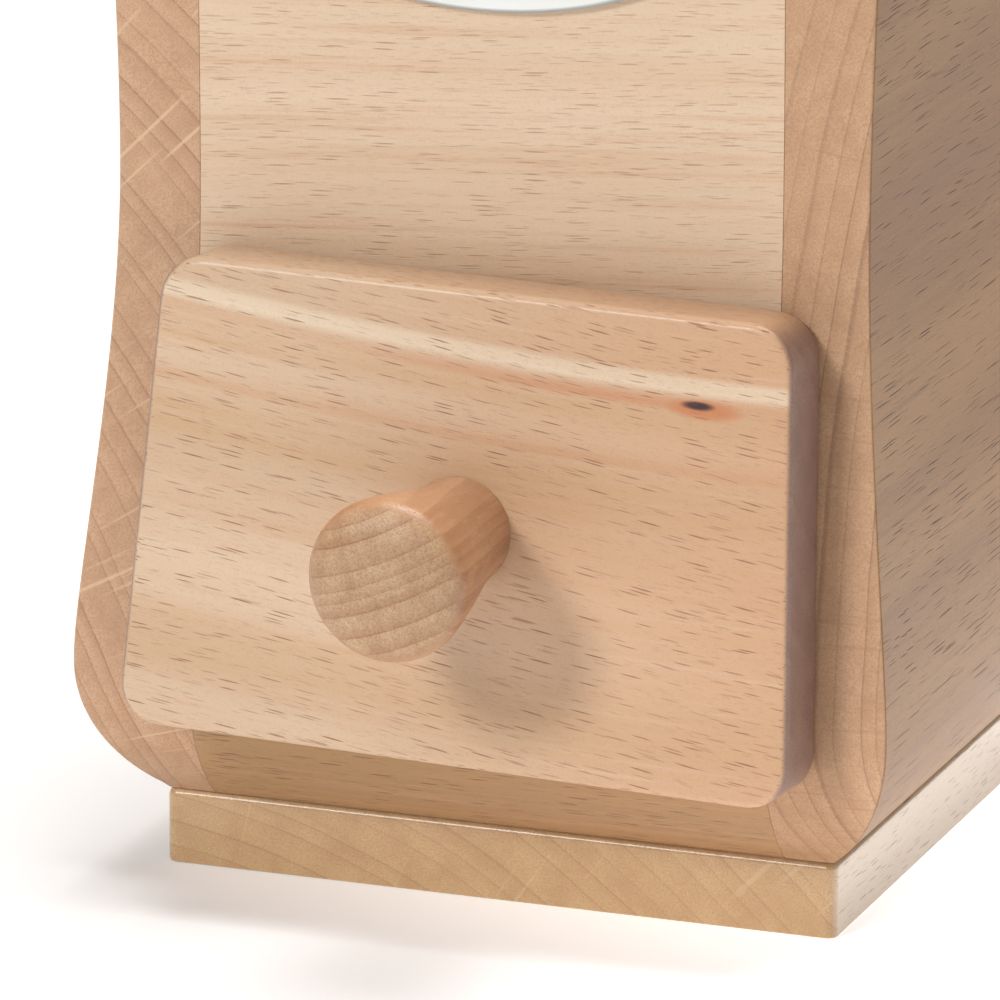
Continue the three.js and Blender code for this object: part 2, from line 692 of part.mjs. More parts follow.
/** The coil spring between the collar and the bush. */
function addSpring() {
  const section = new THREE.Shape();
  section.absarc(0, 0, SPRING.wire, 0, 2 * Math.PI);
  const wire = new THREE.ExtrudeGeometry(section, {
    extrudePath: new Coil(),
    steps: SPRING.turns * 11,
    bevelEnabled: false,
    curveSegments: 3,
  });
  add(mill, 'spindle_spring', 'steel', wire);
}

// ---------------------------------------------------------------- crank

/** The cranked arm: a bent flat bar, wide at the hub and narrow at the knob. */
function armGeometry() {
  const { reach, hubZ, endZ, thickness, hubRadius, endRadius, bendStart, bendEnd } = CRANK;
  const { soften, sag, lead } = CRANK.bend;
  const side = new THREE.Shape();
  const near = -hubRadius - PAST;
  const far = reach + endRadius + PAST;
  const [hubTop, endTop] = [hubZ + thickness, endZ + thickness];
  side.moveTo(near, hubZ);
  side.lineTo(bendStart - soften, hubZ);
  side.quadraticCurveTo(bendStart, hubZ, bendStart + soften, hubZ - sag);
  side.lineTo(bendEnd - soften, endZ + sag);
  side.quadraticCurveTo(bendEnd, endZ, bendEnd + soften, endZ);
  side.lineTo(far, endZ);
  side.lineTo(far, endTop);
  side.lineTo(bendEnd + soften, endTop);
  side.quadraticCurveTo(bendEnd, endTop, bendEnd - soften + lead, endTop + sag);
  side.lineTo(bendStart + soften + lead, hubTop - sag);
  side.quadraticCurveTo(bendStart + lead, hubTop, bendStart - soften, hubTop);
  side.lineTo(near, hubTop);
  const plan = new THREE.Shape();
  const slope = Math.asin((hubRadius - endRadius) / reach);
  plan.absarc(0, 0, hubRadius, 90 * DEG - slope, 270 * DEG + slope);
  plan.absarc(reach, 0, endRadius, 270 * DEG + slope, 450 * DEG - slope);
  const half = hubRadius + PAST;
  return common(slabXZ(side, -half, half, 4), slabXY(plan, endZ - PAST, hubZ + 2 * PAST, 14));
}

/** The washer, arm and crown nut on the spindle, and the pin that the knob turns on. */
function addCrank() {
  const { reach, hubZ, endZ, thickness } = CRANK;
  const s = SPINDLE.square / 2 + FIT;
  const hubHole = box(-s, s, -s, s, hubZ - PAST, hubZ + 2 * PAST);
  const pinBore = rod(CRANK_KNOB.pin + FIT, endZ - PAST, endZ + 2 * PAST, 16, reach);
  add(mill, 'crank_arm', 'chrome', cut(armGeometry(), hubHole, pinBore));
  const washerBore = rod(SPINDLE.radius + FIT, hubZ - PAST, hubZ + PAST, 24);
  const washer = cut(rod(7.5, hubZ - 1, hubZ, 28), washerBore);
  add(mill, 'crank_washer', 'brass', washer);
  const nutZ = hubZ + thickness;
  const crown = turned([[0, nutZ], [7.2, nutZ], [7.2, nutZ + 4.6], [5.6, nutZ + 5], [5.2, nutZ + 7],
    [3.6, nutZ + 8.8], [0, nutZ + 9.5]], 24);
  const hexagon = rod(7, nutZ, nutZ + 12, 6);
  const bore = rod(SPINDLE.stud + FIT, nutZ - 1, SPINDLE.top + FIT, 20);
  add(mill, 'crown_nut', 'chrome', cut(common(crown, hexagon), bore));
  const knobZ = endZ + thickness;
  const pinTop = knobZ + CRANK_KNOB.height + 1.9;
  const { pin } = CRANK_KNOB;
  const rivet = turned([[0, endZ - 2.2], [3, endZ - 2.2], [4.6, endZ - 1.2], [4.6, endZ],
    [pin, endZ], [pin, pinTop - 1.4], [5, pinTop - 1.4], [4.2, pinTop - 0.2], [0, pinTop]], 20);
  add(mill, 'knob_pin', 'steel', rivet).position.x = reach;
}

/** The turned wooden crank knob, free to turn on its pin. */
function addCrankKnob() {
  const { height, radius, bore } = CRANK_KNOB;
  const base = CRANK.endZ + CRANK.thickness + FIT;
  const side = new THREE.Path();
  const top = base + height - FIT;
  const at = (share) => base + height * share;
  side.moveTo(9, base);
  side.quadraticCurveTo(8, at(0.16), 9.6, at(0.3));
  side.bezierCurveTo(13, at(0.46), radius, at(0.52), radius, at(0.68));
  side.bezierCurveTo(radius, at(0.86), 11, top, 6.5, top);
  const corners = side.getPoints(5).map((point) => [point.x, point.y]);
  const profile = [[bore, base], ...corners, [bore, top]];
  add(mill, 'crank_knob', 'beech', turned(profile, 24)).position.x = CRANK.reach;
}

// ---------------------------------------------------------------- drawer

/** The Y of the front board's back face at a height, plus a distance behind it. */
function boardBackY(z, behind = 0) {
  return -BODY.bulgeHalf - FIT + Math.tan(DRAWER.lean) * (z - BODY.bulgeZ) + behind;
}

/** A side outline in YZ from [y, z] corners, extruded along X between two places. */
function slabYZ(corners, x0, x1) {
  const geometry = slabXY(outline(corners), x0, x1);
  return geometry.rotateY(90 * DEG).rotateX(90 * DEG);
}

/** The leaning front board: wider at the foot, with round corners and softened edges. */
function addDrawerFront() {
  const { lean, twist, shiftX, bottomZ, height, topHalf, bottomHalf, corner, thickness, edge } = DRAWER;
  const flare = Math.atan2(bottomHalf - topHalf, height);
  const half = height / 2;
  const inset = (side) => corner * (1 - Math.sin(side * flare)) / Math.cos(flare);
  const low = { x: bottomHalf - inset(1), z: -half + corner };
  const high = { x: topHalf - inset(-1), z: half - corner };
  const shape = new THREE.Shape();
  shape.absarc(low.x, low.z, corner, -90 * DEG, flare);
  shape.absarc(high.x, high.z, corner, flare, 90 * DEG);
  shape.absarc(-high.x, high.z, corner, 90 * DEG, 180 * DEG - flare);
  shape.absarc(-low.x, low.z, corner, 180 * DEG - flare, 270 * DEG);
  const board = new THREE.ExtrudeGeometry(shape, {
    depth: thickness - 2 * edge,
    bevelEnabled: true,
    bevelSegments: 2,
    bevelSize: edge,
    bevelOffset: -edge,
    bevelThickness: edge,
    curveSegments: 6,
  }).translate(0, 0, edge).rotateX(90 * DEG);
  const centreZ = bottomZ + half * Math.cos(lean);
  const reach = BODY.bulgeHalf + DRAWER_KNOB.length;
  const bore = rod(KNOB_SCREW.shank + FIT, 0, reach, 12).rotateX(90 * DEG)
    .translate(DRAWER_KNOB.x, 0, DRAWER_KNOB.z);
  const placed = board.rotateY(twist).rotateX(-lean)
    .translate(shiftX, boardBackY(centreZ), centreZ);
  add(mill, 'drawer_front', 'beech', cut(placed, bore));
}

/** The drawer's sides, back and floor behind the front board. */
function addDrawerBox() {
  const { boxTop, wall, backY, floorZ, floorHeight, side } = DRAWER;
  const outer = BODY.innerHalf - side;
  const inner = outer - wall;
  const foot = OPENING.bottom + FIT;
  const sideOutline = [[boardBackY(foot, FIT), foot], [backY, foot], [backY, boxTop],
    [boardBackY(boxTop, FIT), boxTop]];
  add(mill, 'drawer_side_left', 'beech', slabYZ(sideOutline, -outer, -inner));
  add(mill, 'drawer_side_right', 'beech', slabYZ(sideOutline, inner, outer));
  const backFront = backY - wall;
  add(mill, 'drawer_back', 'beech', box(-inner, inner, backFront, backY, foot, boxTop - 4));
  const floorTop = floorZ + floorHeight;
  const floorOutline = [[boardBackY(floorZ, FIT), floorZ], [backFront, floorZ],
    [backFront, floorTop], [boardBackY(floorTop, FIT), floorTop]];
  add(mill, 'drawer_floor', 'plywood', slabYZ(floorOutline, -inner, inner));
}

/** The turned knob on the drawer, pointing straight forward, and the screw that holds it. */
function addDrawerKnob() {
  const { x, z, length, head, base } = DRAWER_KNOB;
  const { thickness, lean } = DRAWER;
  const faceY = boardBackY(z) - thickness / Math.cos(lean);
  const buried = 2; // the blank runs this far into the board before its foot is cut to the slope
  const side = new THREE.Path();
  side.moveTo(base, -buried);
  side.lineTo(base, 0.8);
  side.bezierCurveTo(base, length * 0.25, head - 0.7, length * 0.6, head, length * 0.85);
  side.bezierCurveTo(head, length * 0.95, head * 0.75, length, 0, length);
  const corners = side.getPoints(5).map((point) => [point.x, point.y]);
  const knob = turned([[0, -buried], ...corners], 24).rotateX(90 * DEG).translate(x, faceY, z);
  const half = 2 * head;
  const behind = box(-half, half, 0, half, -half, half).rotateX(-lean)
    .translate(0, faceY - FIT, z);
  const { shank, head: screwHead, length: reach } = KNOB_SCREW;
  const headY = boardBackY(z, FIT);
  const bore = rod(shank + FIT, 0, reach + FIT, 12).rotateX(90 * DEG).translate(x, headY, z);
  add(mill, 'drawer_knob', 'beech', cut(knob, behind, bore));
  const profile = [[0, -2.2], [screwHead - 1, -2.2], [screwHead, -1.4], [screwHead, -0.6],
    [shank, -0.6], [shank, reach - 2], [0, reach]];
  const screw = cut(turned(profile, 12), box(-0.5, 0.5, -PAST, PAST, -3, -1.4));
  add(mill, 'knob_screw', 'steel', screw.rotateX(90 * DEG).translate(x, headY + 0.4, z));
}

// ---------------------------------------------------------------- the whole mill

addBox();
addPlinth();
addRunners();
addTopBoard();
addBadge();
addHopper();
addDome();
addShutter();
addPlate();
addOuterBurr();
addStirrup();
addAdjuster();
addSpindle();
addInnerBurr();
addSpring();
addCrank();
addCrankKnob();
addDrawerFront();
addDrawerBox();
addDrawerKnob();

export default mill;
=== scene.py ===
"""A beech box coffee mill: the meshes and the finish of every visible piece, and a plain studio.

Lengths are in metres: X to the right, the front towards -Y and Z up, with the origin in the
middle of the plinth's underside. Sizes in millimetres are written as a number times MM.
"""

import logging
import math
from collections.abc import Callable, Iterable, Sequence
from dataclasses import dataclass, field
from enum import Enum
from typing import Any

import bmesh
import bpy
from bmesh.types import BMEdge, BMesh
from mathutils import Matrix, Vector
from mathutils.geometry import interpolate_bezier


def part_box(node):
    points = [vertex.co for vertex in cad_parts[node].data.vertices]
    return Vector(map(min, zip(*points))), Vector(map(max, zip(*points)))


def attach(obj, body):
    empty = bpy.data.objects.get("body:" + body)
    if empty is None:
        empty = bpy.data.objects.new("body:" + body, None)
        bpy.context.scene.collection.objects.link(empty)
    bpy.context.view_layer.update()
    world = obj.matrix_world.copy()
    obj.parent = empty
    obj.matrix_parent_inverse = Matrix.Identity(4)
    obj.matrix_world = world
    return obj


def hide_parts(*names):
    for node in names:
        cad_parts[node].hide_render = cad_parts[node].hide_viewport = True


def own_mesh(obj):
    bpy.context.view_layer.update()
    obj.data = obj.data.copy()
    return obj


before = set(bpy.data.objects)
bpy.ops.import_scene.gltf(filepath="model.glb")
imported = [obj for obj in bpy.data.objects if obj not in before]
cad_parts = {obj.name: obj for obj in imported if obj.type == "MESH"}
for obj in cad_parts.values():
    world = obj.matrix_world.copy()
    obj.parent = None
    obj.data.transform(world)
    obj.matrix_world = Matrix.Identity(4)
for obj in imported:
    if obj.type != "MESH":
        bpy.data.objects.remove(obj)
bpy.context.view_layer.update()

LOG = logging.getLogger("coffee_mill")
MM = 0.001
TURN = 2 * math.pi
UP = Vector((0, 0, 1))
PER_METRE = 1000.0  # millimetres in a metre, for patterns
WELD = 0.001 * MM  # vertices nearer than this are one

Colour = tuple[float, float, float, float]
Outline = list[tuple[float, float]]


def tone(red: int, green: int, blue: int) -> Colour:
    """A linear colour from its three display values.

    Args:
        red: Display red from 0 to 255.
        green: Display green from 0 to 255.
        blue: Display blue from 0 to 255.

    Returns:
        The linear colour with an alpha of 1.
    """
    linear = [((value / 255 + 0.055) / 1.055) ** 2.4 for value in (red, green, blue)]
    return (*linear, 1.0)


# ---------------------------------------------------------------- shader maths


def operator_pair(operation: str) -> tuple[Callable[..., "Wire"], Callable[..., "Wire"]]:
    """Makes an operator of a Wire and its reflected form.

    Args:
        operation: The Math node's operation.

    Returns:
        The method for wire (+) value, and the one for value (+) wire.
    """

    def forward(wire: "Wire", other: "Wire | float") -> "Wire":
        """The operation on this wire and another value."""
        return wire.math(operation, other)

    def reflected(wire: "Wire", other: float) -> "Wire":
        """The operation on another value and this wire."""
        return wire.shader.math(operation, other, wire)

    return forward, reflected


class Wire:
    """A shader socket on which Python's operators add Math nodes."""

    __add__, __radd__ = operator_pair("ADD")
    __sub__, __rsub__ = operator_pair("SUBTRACT")
    __mul__, __rmul__ = operator_pair("MULTIPLY")
    __truediv__, __rtruediv__ = operator_pair("DIVIDE")
    __pow__, __rpow__ = operator_pair("POWER")

    def __init__(self, shader: "Shader", socket: bpy.types.NodeSocket) -> None:
        """Holds a socket and the shader that it belongs to."""
        self.shader = shader
        self.socket = socket

    def math(self, operation: str, *others: "Wire | float") -> "Wire":
        """The result of a Math node whose first value is this one."""
        return self.shader.math(operation, self, *others)

    def __abs__(self) -> "Wire":
        """This value without its sign."""
        return self.math("ABSOLUTE")

    def between(self, low: float, high: float) -> "Wire":
        """A smooth step over this value.

        Args:
            low: Where the step is 0.
            high: Where it is 1, which may lie below low.

        Returns:
            The step, from 0 to 1.
        """
        flipped = high < low
        ends = (high, low) if flipped else (low, high)
        step = self.shader.node(
            "ShaderNodeMapRange",
            {"interpolation_type": "SMOOTHSTEP"},
            {"Value": self, "From Min": ends[0], "From Max": ends[1]},
        )
        return 1 - step if flipped else step

    def part(self, axis: int) -> "Wire":
        """One of the three numbers of a vector."""
        return self.shader.node("ShaderNodeSeparateXYZ", {}, {0: self}, axis)


class Shader:
    """A material under construction around one Principled shader."""

    def __init__(self, name: str) -> None:
        """Makes an empty node material.

        Args:
            name: The material's name.
        """
        self.material = bpy.data.materials.new(name)
        self.material.use_nodes = True
        self.tree = self.material.node_tree
        self.surface = next(n for n in self.tree.nodes if n.type == "BSDF_PRINCIPLED")

    def node(
        self,
        kind: str,
        settings: dict[str, Any],
        sockets: dict[int | str, Any],
        out: int | str = 0,
    ) -> Wire:
        """Adds a node, with its settings made before its sockets are filled.

        Args:
            kind: The node's type.
            settings: Its properties.
            sockets: Values or wires for its inputs, by place or by name.
            out: The output to return, by place or by name.

        Returns:
            A wire from that output.
        """
        made = self.tree.nodes.new(kind)
        for name, value in settings.items():
            setattr(made, name, value)
        for key, value in sockets.items():
            if isinstance(value, Wire):
                self.tree.links.new(value.socket, made.inputs[key])
            else:
                made.inputs[key].default_value = value
        return Wire(self, made.outputs[out])

    def math(self, operation: str, *values: Wire | float) -> Wire:
        """The result of a Math node."""
        return self.node("ShaderNodeMath", {"operation": operation}, dict(enumerate(values)))

    def vector(self, operation: str, *values: Wire | Sequence[float], out: int = 0) -> Wire:
        """The result of a Vector Math node."""
        settings = {"operation": operation}
        return self.node("ShaderNodeVectorMath", settings, dict(enumerate(values)), out)

    def join(self, x: Wire | float, y: Wire | float, z: Wire | float) -> Wire:
        """A vector from three numbers."""
        return self.node("ShaderNodeCombineXYZ", {}, {0: x, 1: y, 2: z})

    def mix(self, first: Wire | Colour, second: Wire | Colour, share: Wire | float) -> Wire:
        """A colour between two others."""
        settings = {"data_type": "RGBA"}
        return self.node("ShaderNodeMix", settings, {0: share, 6: first, 7: second}, 2)

    def noise(self, spot: Wire, swells: Sequence[float] | None = None, detail: float = 2.0,
              roughness: float = 0.5) -> Wire:
        """Soft noise about 0.5.

        Args:
            spot: Where the noise is read.
            swells: How many swells it has to a unit along each axis, or None for one.
            detail: The number of finer layers.
            roughness: How strong the finer layers are.

        Returns:
            The noise.
        """
        stretched = self.vector("MULTIPLY", spot, swells) if swells else spot
        sockets = {"Vector": stretched, "Scale": 1.0, "Detail": detail, "Roughness": roughness}
        return self.node("ShaderNodeTexNoise", {}, sockets, "Fac")

    def spot(self) -> Wire:
        """The place on the object in millimetres."""
        metres = self.node("ShaderNodeTexCoord", {}, {}, "Object")
        return self.vector("MULTIPLY", metres, (PER_METRE, PER_METRE, PER_METRE))

    def facing(self) -> Wire:
        """The surface's normal in the object's own axes."""
        return self.node("ShaderNodeTexCoord", {}, {}, "Normal")

    def feed(self, **sockets: Any) -> None:
        """Fills the Principled shader's sockets.

        Args:
            **sockets: Values or wires, by the socket's name with underscores for its spaces.
        """
        for key, value in sockets.items():
            socket = self.surface.inputs[key.replace("_", " ")]
            if isinstance(value, Wire):
                self.tree.links.new(value.socket, socket)
            else:
                socket.default_value = value

    def bump(self, height: Wire, depth: float) -> None:
        """Raises the surface by a height from 0 to 1.

        Args:
            height: The relief, where 1 is the top.
            depth: The relief's real depth in metres.
        """
        sockets = {"Height": height, "Strength": 1.0, "Distance": depth}
        self.feed(Normal=self.node("ShaderNodeBump", {}, sockets))


# ---------------------------------------------------------------- finishes


class Grain(Enum):
    """The axis along which a board's fibres run."""

    X = (0, 1, 2)
    Y = (1, 0, 2)
    Z = (2, 0, 1)


@dataclass(frozen=True)
class Knot:
    """A small dark knot on a board's face: its place and its half sizes, in millimetres."""

    along: float
    across: float
    core: tuple[float, float] = (2.9, 0.75)
    halo: tuple[float, float] = (6.4, 1.7)
    trail: float = 60.0
    wood: Colour = tone(62, 34, 40)
    stain: Colour = tone(196, 118, 70)


@dataclass(frozen=True)
class Band:
    """A stripe of another tone along the fibres, at a height in millimetres."""

    height: float
    width: float
    colour: Colour
    strength: float


@dataclass(frozen=True)
class Beech:
    """Lacquered beech: growth rings, dark ray flecks along the fibres, and granular end grain.

    Lengths are in millimetres. The pith is where the rings are centred, across the fibres, and
    ring is their width. Along the board the fibres drop by the dip, and less and less by the bow,
    and the flecks drop by the slant. Below the first number of the sweep the rings curve away, by
    the second number per square millimetre. The painted falloff is painted shade: it darkens the
    board along its fibres, as a share per metre, towards where less light falls. Each show is how
    strongly a feature is seen, from 0 to 1, gloss is the bare wood's specular level and lacquer the
    weight of the clear coat.
    """

    name: str
    grain: Grain
    pith: tuple[float, float]
    pale: Colour = tone(226, 200, 172)
    deep: Colour = tone(212, 182, 150)
    streak: Colour = tone(206, 160, 122)
    fleck: Colour = tone(138, 92, 68)
    end_pale: Colour = tone(212, 176, 142)
    end_deep: Colour = tone(178, 134, 102)
    ray: Colour = tone(226, 194, 156)
    ray_show: float = 0.3
    ring: float = 3.1
    ring_show: float = 0.25
    end_ring_show: float = 0.55
    dip: float = 0.0
    bow: float = 0.0
    slant: float = 0.0
    painted_falloff: float = 0.0
    sweep: tuple[float, float] = (0.0, 0.0)
    fleck_size: tuple[float, float] = (7.4, 0.42)
    fleck_show: float = 0.85
    pore_size: tuple[float, float] = (3.2, 0.3)
    roughness: float = 0.36
    gloss: float = 0.5
    lacquer: float = 0.0
    lacquer_roughness: float = 0.22
    relief: float = 0.04 * MM
    knot: Knot | None = None
    bands: tuple[Band, ...] = ()

    def material(self) -> bpy.types.Material:
        """Builds the node material.

        Returns:
            The finished material.
        """
        shader = Shader(self.name)
        spot = shader.spot()
        along, side, rise = (spot.part(axis) for axis in self.grain.value)
        tilted = shader.join(along, side, rise + along * self.slant)
        rise = rise + along * self.dip - along * along * self.bow
        fibres = shader.join(along, side, rise)
        waves = self._waves(shader, fibres)
        fine = shader.noise(spot, (3.4, 3.4, 3.4), 2.0, 0.6)
        ring, line, radius, angle = self._rings(shader, side, rise, waves, fine)
        end = abs(shader.facing().part(self.grain.value[0])).between(0.3, 0.9)
        flecks, pores = self._flecks(shader, tilted, waves)
        long_colour = self._long_grain(shader, fibres, ring, flecks, pores, fine)
        if self.knot:
            long_colour = self._with_knot(shader, long_colour, along, rise)
        end_colour, rays = self._end_grain(shader, ring, line, radius, angle, fine)
        height = (1 - flecks * 0.8 - pores * 0.4) * (1 - end) + (fine + rays * 0.3) * end
        shader.feed(
            Base_Color=shader.mix(long_colour, end_colour, end),
            Roughness=self.roughness + end * 0.1 + flecks * 0.12 + (fine - 0.5) * 0.16,
            Specular_IOR_Level=self.gloss,
            Coat_Weight=self.lacquer,
            Coat_Roughness=self.lacquer_roughness,
        )
        shader.bump(height + fine * 0.35, self.relief)
        return shader.material

    @staticmethod
    def _waves(shader: Shader, fibres: Wire) -> Wire:
        """A slow sideways drift of the fibres, about 0."""
        return shader.noise(fibres, (0.012, 0.035, 0.035)) - 0.5

    def _rings(
        self, shader: Shader, side: Wire, rise: Wire, waves: Wire, fine: Wire
    ) -> tuple[Wire, Wire, Wire, Wire]:
        """Growth rings about the pith.

        Args:
            shader: The material under construction.
            side: The place across the fibres, level.
            rise: The place across the fibres, upright.
            waves: The fibres' sideways drift.
            fine: Fine noise that breaks up the late wood's line.

        Returns:
            The late wood's soft tone and its thin line, both from 0 to 1, then the radius and
            the angle about the pith.
        """
        side = side + waves * 1.4
        if self.sweep[1]:
            below = (self.sweep[0] - rise).math("MAXIMUM", 0.0)
            side = side - below * below * self.sweep[1]
        out = side - self.pith[0]
        up = rise + waves * 1.8 - self.pith[1]
        radius = (out * out + up * up) ** 0.5
        uneven = shader.noise(shader.join(radius * 0.16, 0.0, 0.0), detail=1.0)
        phase = radius / self.ring + uneven * 2.4
        count = phase.math("FLOOR")
        share = phase - count
        unlike = shader.node("ShaderNodeTexWhiteNoise", {"noise_dimensions": "1D"}, {"W": count})
        strength = 0.4 + unlike * 0.6
        soft = share.between(0.1, 0.95) * share.between(1.0, 0.96) * strength
        line = share.between(0.84, 0.94) * share.between(1.0, 0.96) * strength
        line = line * fine.between(0.15, 0.6)
        return soft, line, radius, up.math("ARCTAN2", out)

    def _flecks(self, shader: Shader, fibres: Wire, waves: Wire) -> tuple[Wire, Wire]:
        """The dark ray flecks and the finer pores between them.

        Args:
            shader: The material under construction.
            fibres: The place, with the flecks' direction first.
            waves: The fibres' sideways drift.

        Returns:
            The flecks and the pores, both from 0 to 1.
        """
        drift = shader.join(0.0, waves * 5.0, waves * 5.0)
        drifted = shader.vector("ADD", fibres, drift)
        marks = []
        for length, width in (self.fleck_size, self.pore_size):
            scale = (1 / length, 1 / width, 1 / width)
            cells = {"Vector": shader.vector("MULTIPLY", drifted, scale), "Scale": 1.0}
            distance = shader.node("ShaderNodeTexVoronoi", {}, cells, "Distance")
            unlike = shader.node("ShaderNodeTexVoronoi", {}, cells, "Color").part(0)
            marks.append(distance.between(0.3, 0.17) * (0.3 + unlike * 0.7))
        return marks[0], marks[1]

    def _long_grain(
        self, shader: Shader, fibres: Wire, ring: Wire, flecks: Wire, pores: Wire, fine: Wire
    ) -> Wire:
        """The colour of the faces that run along the fibres.

        Args:
            shader: The material under construction.
            fibres: The place, with the fibres' direction first.
            ring: The late wood's soft tone.
            flecks: The dark ray flecks.
            pores: The finer pores.
            fine: Fine noise.

        Returns:
            The colour.
        """
        broad = shader.noise(fibres, (0.004, 0.06, 0.06), 3.0)
        thin = shader.noise(fibres, (0.02, 0.9, 0.9), 3.0, 0.65)
        colour = shader.mix(self.pale, self.deep, broad.between(0.3, 0.7))
        # Painted shade: the board darkens along its fibres, towards where less light falls.
        if self.painted_falloff:
            darker = 0.25 + fibres.part(0) * (self.painted_falloff / PER_METRE)
            colour = shader.mix(colour, self.streak, darker)
        colour = shader.mix(colour, self.streak, thin.between(0.48, 0.8) * 0.6)
        colour = shader.mix(colour, self.pale, thin.between(0.46, 0.2) * 0.6)
        colour = shader.mix(colour, self.streak, ring * self.ring_show)
        for band in self.bands:
            offset = abs(fibres.part(2) - band.height + (broad - 0.5) * 3.0)
            share = offset.between(band.width, band.width * 0.3) * band.strength
            colour = shader.mix(colour, band.colour, share * (0.5 + thin))
        colour = shader.mix(colour, self.fleck, pores * 0.28)
        colour = shader.mix(colour, self.fleck, flecks * self.fleck_show)
        return shader.mix(colour, self.fleck, fine.between(0.45, 0.85) * 0.2)

    def _end_grain(
        self, shader: Shader, ring: Wire, line: Wire, radius: Wire, angle: Wire, fine: Wire
    ) -> tuple[Wire, Wire]:
        """The end grain's colour, and the fine rays that cross its rings.

        Args:
            shader: The material under construction.
            ring: The late wood's soft tone.
            line: The late wood's thin line.
            radius: The distance from the pith.
            angle: The angle about the pith.
            fine: Fine noise.

        Returns:
            The colour, and the rays from 0 to 1.
        """
        reach = math.hypot(*self.pith)
        fan = shader.join(angle * (reach / 1.1), radius * 0.03, 0.0)
        rays = shader.noise(fan, detail=1.0).between(0.64, 0.74)
        patches = shader.join(angle * reach * 0.2, radius * 0.2, 0.0)
        cloud = shader.noise(patches, None, 3.0, 0.6)
        colour = shader.mix(self.end_pale, self.end_deep, cloud.between(0.3, 0.75) * 0.4)
        colour = shader.mix(colour, self.end_deep, ring * self.end_ring_show * 0.5)
        colour = shader.mix(colour, self.fleck, line * self.end_ring_show * 0.8)
        colour = shader.mix(colour, self.end_deep, fine.between(0.35, 0.75) * 0.6)
        return shader.mix(colour, self.ray, rays * self.ray_show), rays

    def _with_knot(self, shader: Shader, colour: Wire, along: Wire, rise: Wire) -> Wire:
        """The long grain's colour with the knot, its stained halo and its trailing streak.

        Args:
            shader: The material under construction.
            colour: The wood's colour without the knot.
            along: The place along the fibres.
            rise: The place across them, upright.

        Returns:
            The colour.
        """
        knot = self.knot
        out = along - knot.along
        up = rise - knot.across
        halo = ((out - 1.0) / knot.halo[0], (up + 0.5) / knot.halo[1])
        core = (out / knot.core[0], up / knot.core[1])
        masks = [(x * x + z * z).between(1.0, 0.1) for x, z in (halo, core)]
        trail = abs(up + 0.3).between(1.2, 0.1) * out.between(3.0, -3.0)
        trail = trail * out.between(-knot.trail, -knot.trail * 0.2)
        colour = shader.mix(colour, knot.stain, trail * 0.35)
        colour = shader.mix(colour, knot.stain, masks[0] * 0.75)
        return shader.mix(colour, knot.wood, masks[1])


@dataclass(frozen=True)
class Plywood:
    """Birch plywood with a rotary-cut face, and layers that show at its edges."""

    name: str = "birch_plywood"
    pale: Colour = tone(222, 196, 158)
    deep: Colour = tone(190, 154, 112)
    glue: Colour = tone(120, 86, 58)
    ply: float = 1.0
    relief: float = 0.06 * MM

    def material(self) -> bpy.types.Material:
        """Builds the node material."""
        shader = Shader(self.name)
        spot = shader.spot()
        swirl = shader.noise(spot, (0.02, 0.14, 0.14), 4.0, 0.6)
        rings = (swirl * 14.0).math("FRACT").between(0.2, 0.95)
        grain = shader.noise(spot, (0.2, 3.0, 3.0), 3.0)
        face = shader.mix(self.pale, self.deep, rings * 0.45 + grain * 0.3)
        layer = (spot.part(2) / self.ply).math("FRACT")
        layers = shader.mix(self.deep, self.glue, abs(layer - 0.5).between(0.34, 0.48))
        edge = abs(shader.facing().part(2)).between(0.7, 0.4)
        shader.feed(Base_Color=shader.mix(face, layers, edge), Roughness=0.52 + grain * 0.16)
        shader.bump(grain, self.relief)
        return shader.material


class Texture(Enum):
    """How a metal surface was left."""

    SPUN = "spun"
    DRAWN = "drawn"
    CAST = "cast"


@dataclass(frozen=True)
class Metal:
    """A metal with the marks of its making, light wear and a little tarnish.

    Spread is how far the marks move the roughness, and relief is their depth.
    """

    name: str
    colour: Colour
    tarnish: Colour
    roughness: float
    texture: Texture
    spread: float = 0.12
    relief: float = 0.01 * MM

    def material(self) -> bpy.types.Material:
        """Builds the node material."""
        shader = Shader(self.name)
        spot = shader.spot()
        worn = shader.noise(spot, (0.09, 0.09, 0.09), 4.0, 0.6).between(0.42, 0.72)
        marks = self._marks(shader, spot)
        shader.feed(
            Base_Color=shader.mix(self.colour, self.tarnish, worn * 0.5 + marks * 0.25),
            Metallic=1.0 - worn * (0.3 if self.texture is Texture.CAST else 0.06),
            Roughness=self.roughness + (marks - 0.5) * self.spread + worn * self.spread * 0.6,
        )
        shader.bump(marks, self.relief)
        return shader.material

    def _marks(self, shader: Shader, spot: Wire) -> Wire:
        """The fine relief: rings, draw lines or the grit of sand casting.

        Args:
            shader: The material under construction.
            spot: The place on the object.

        Returns:
            The relief, from 0 to 1.
        """
        if self.texture is Texture.CAST:
            return shader.noise(spot, (1.4, 1.4, 1.4), 6.0, 0.7).between(0.3, 0.75)
        if self.texture is Texture.SPUN:
            flat = shader.vector("MULTIPLY", spot, (1.0, 1.0, 0.0))
            radius = shader.vector("LENGTH", flat, out=1)
            rings = shader.join(radius * 2.6, spot.part(2) * 2.6, 0.0)
            return shader.noise(rings, detail=3.0)
        return shader.noise(spot, (0.25, 2.6, 2.6), 4.0, 0.6)


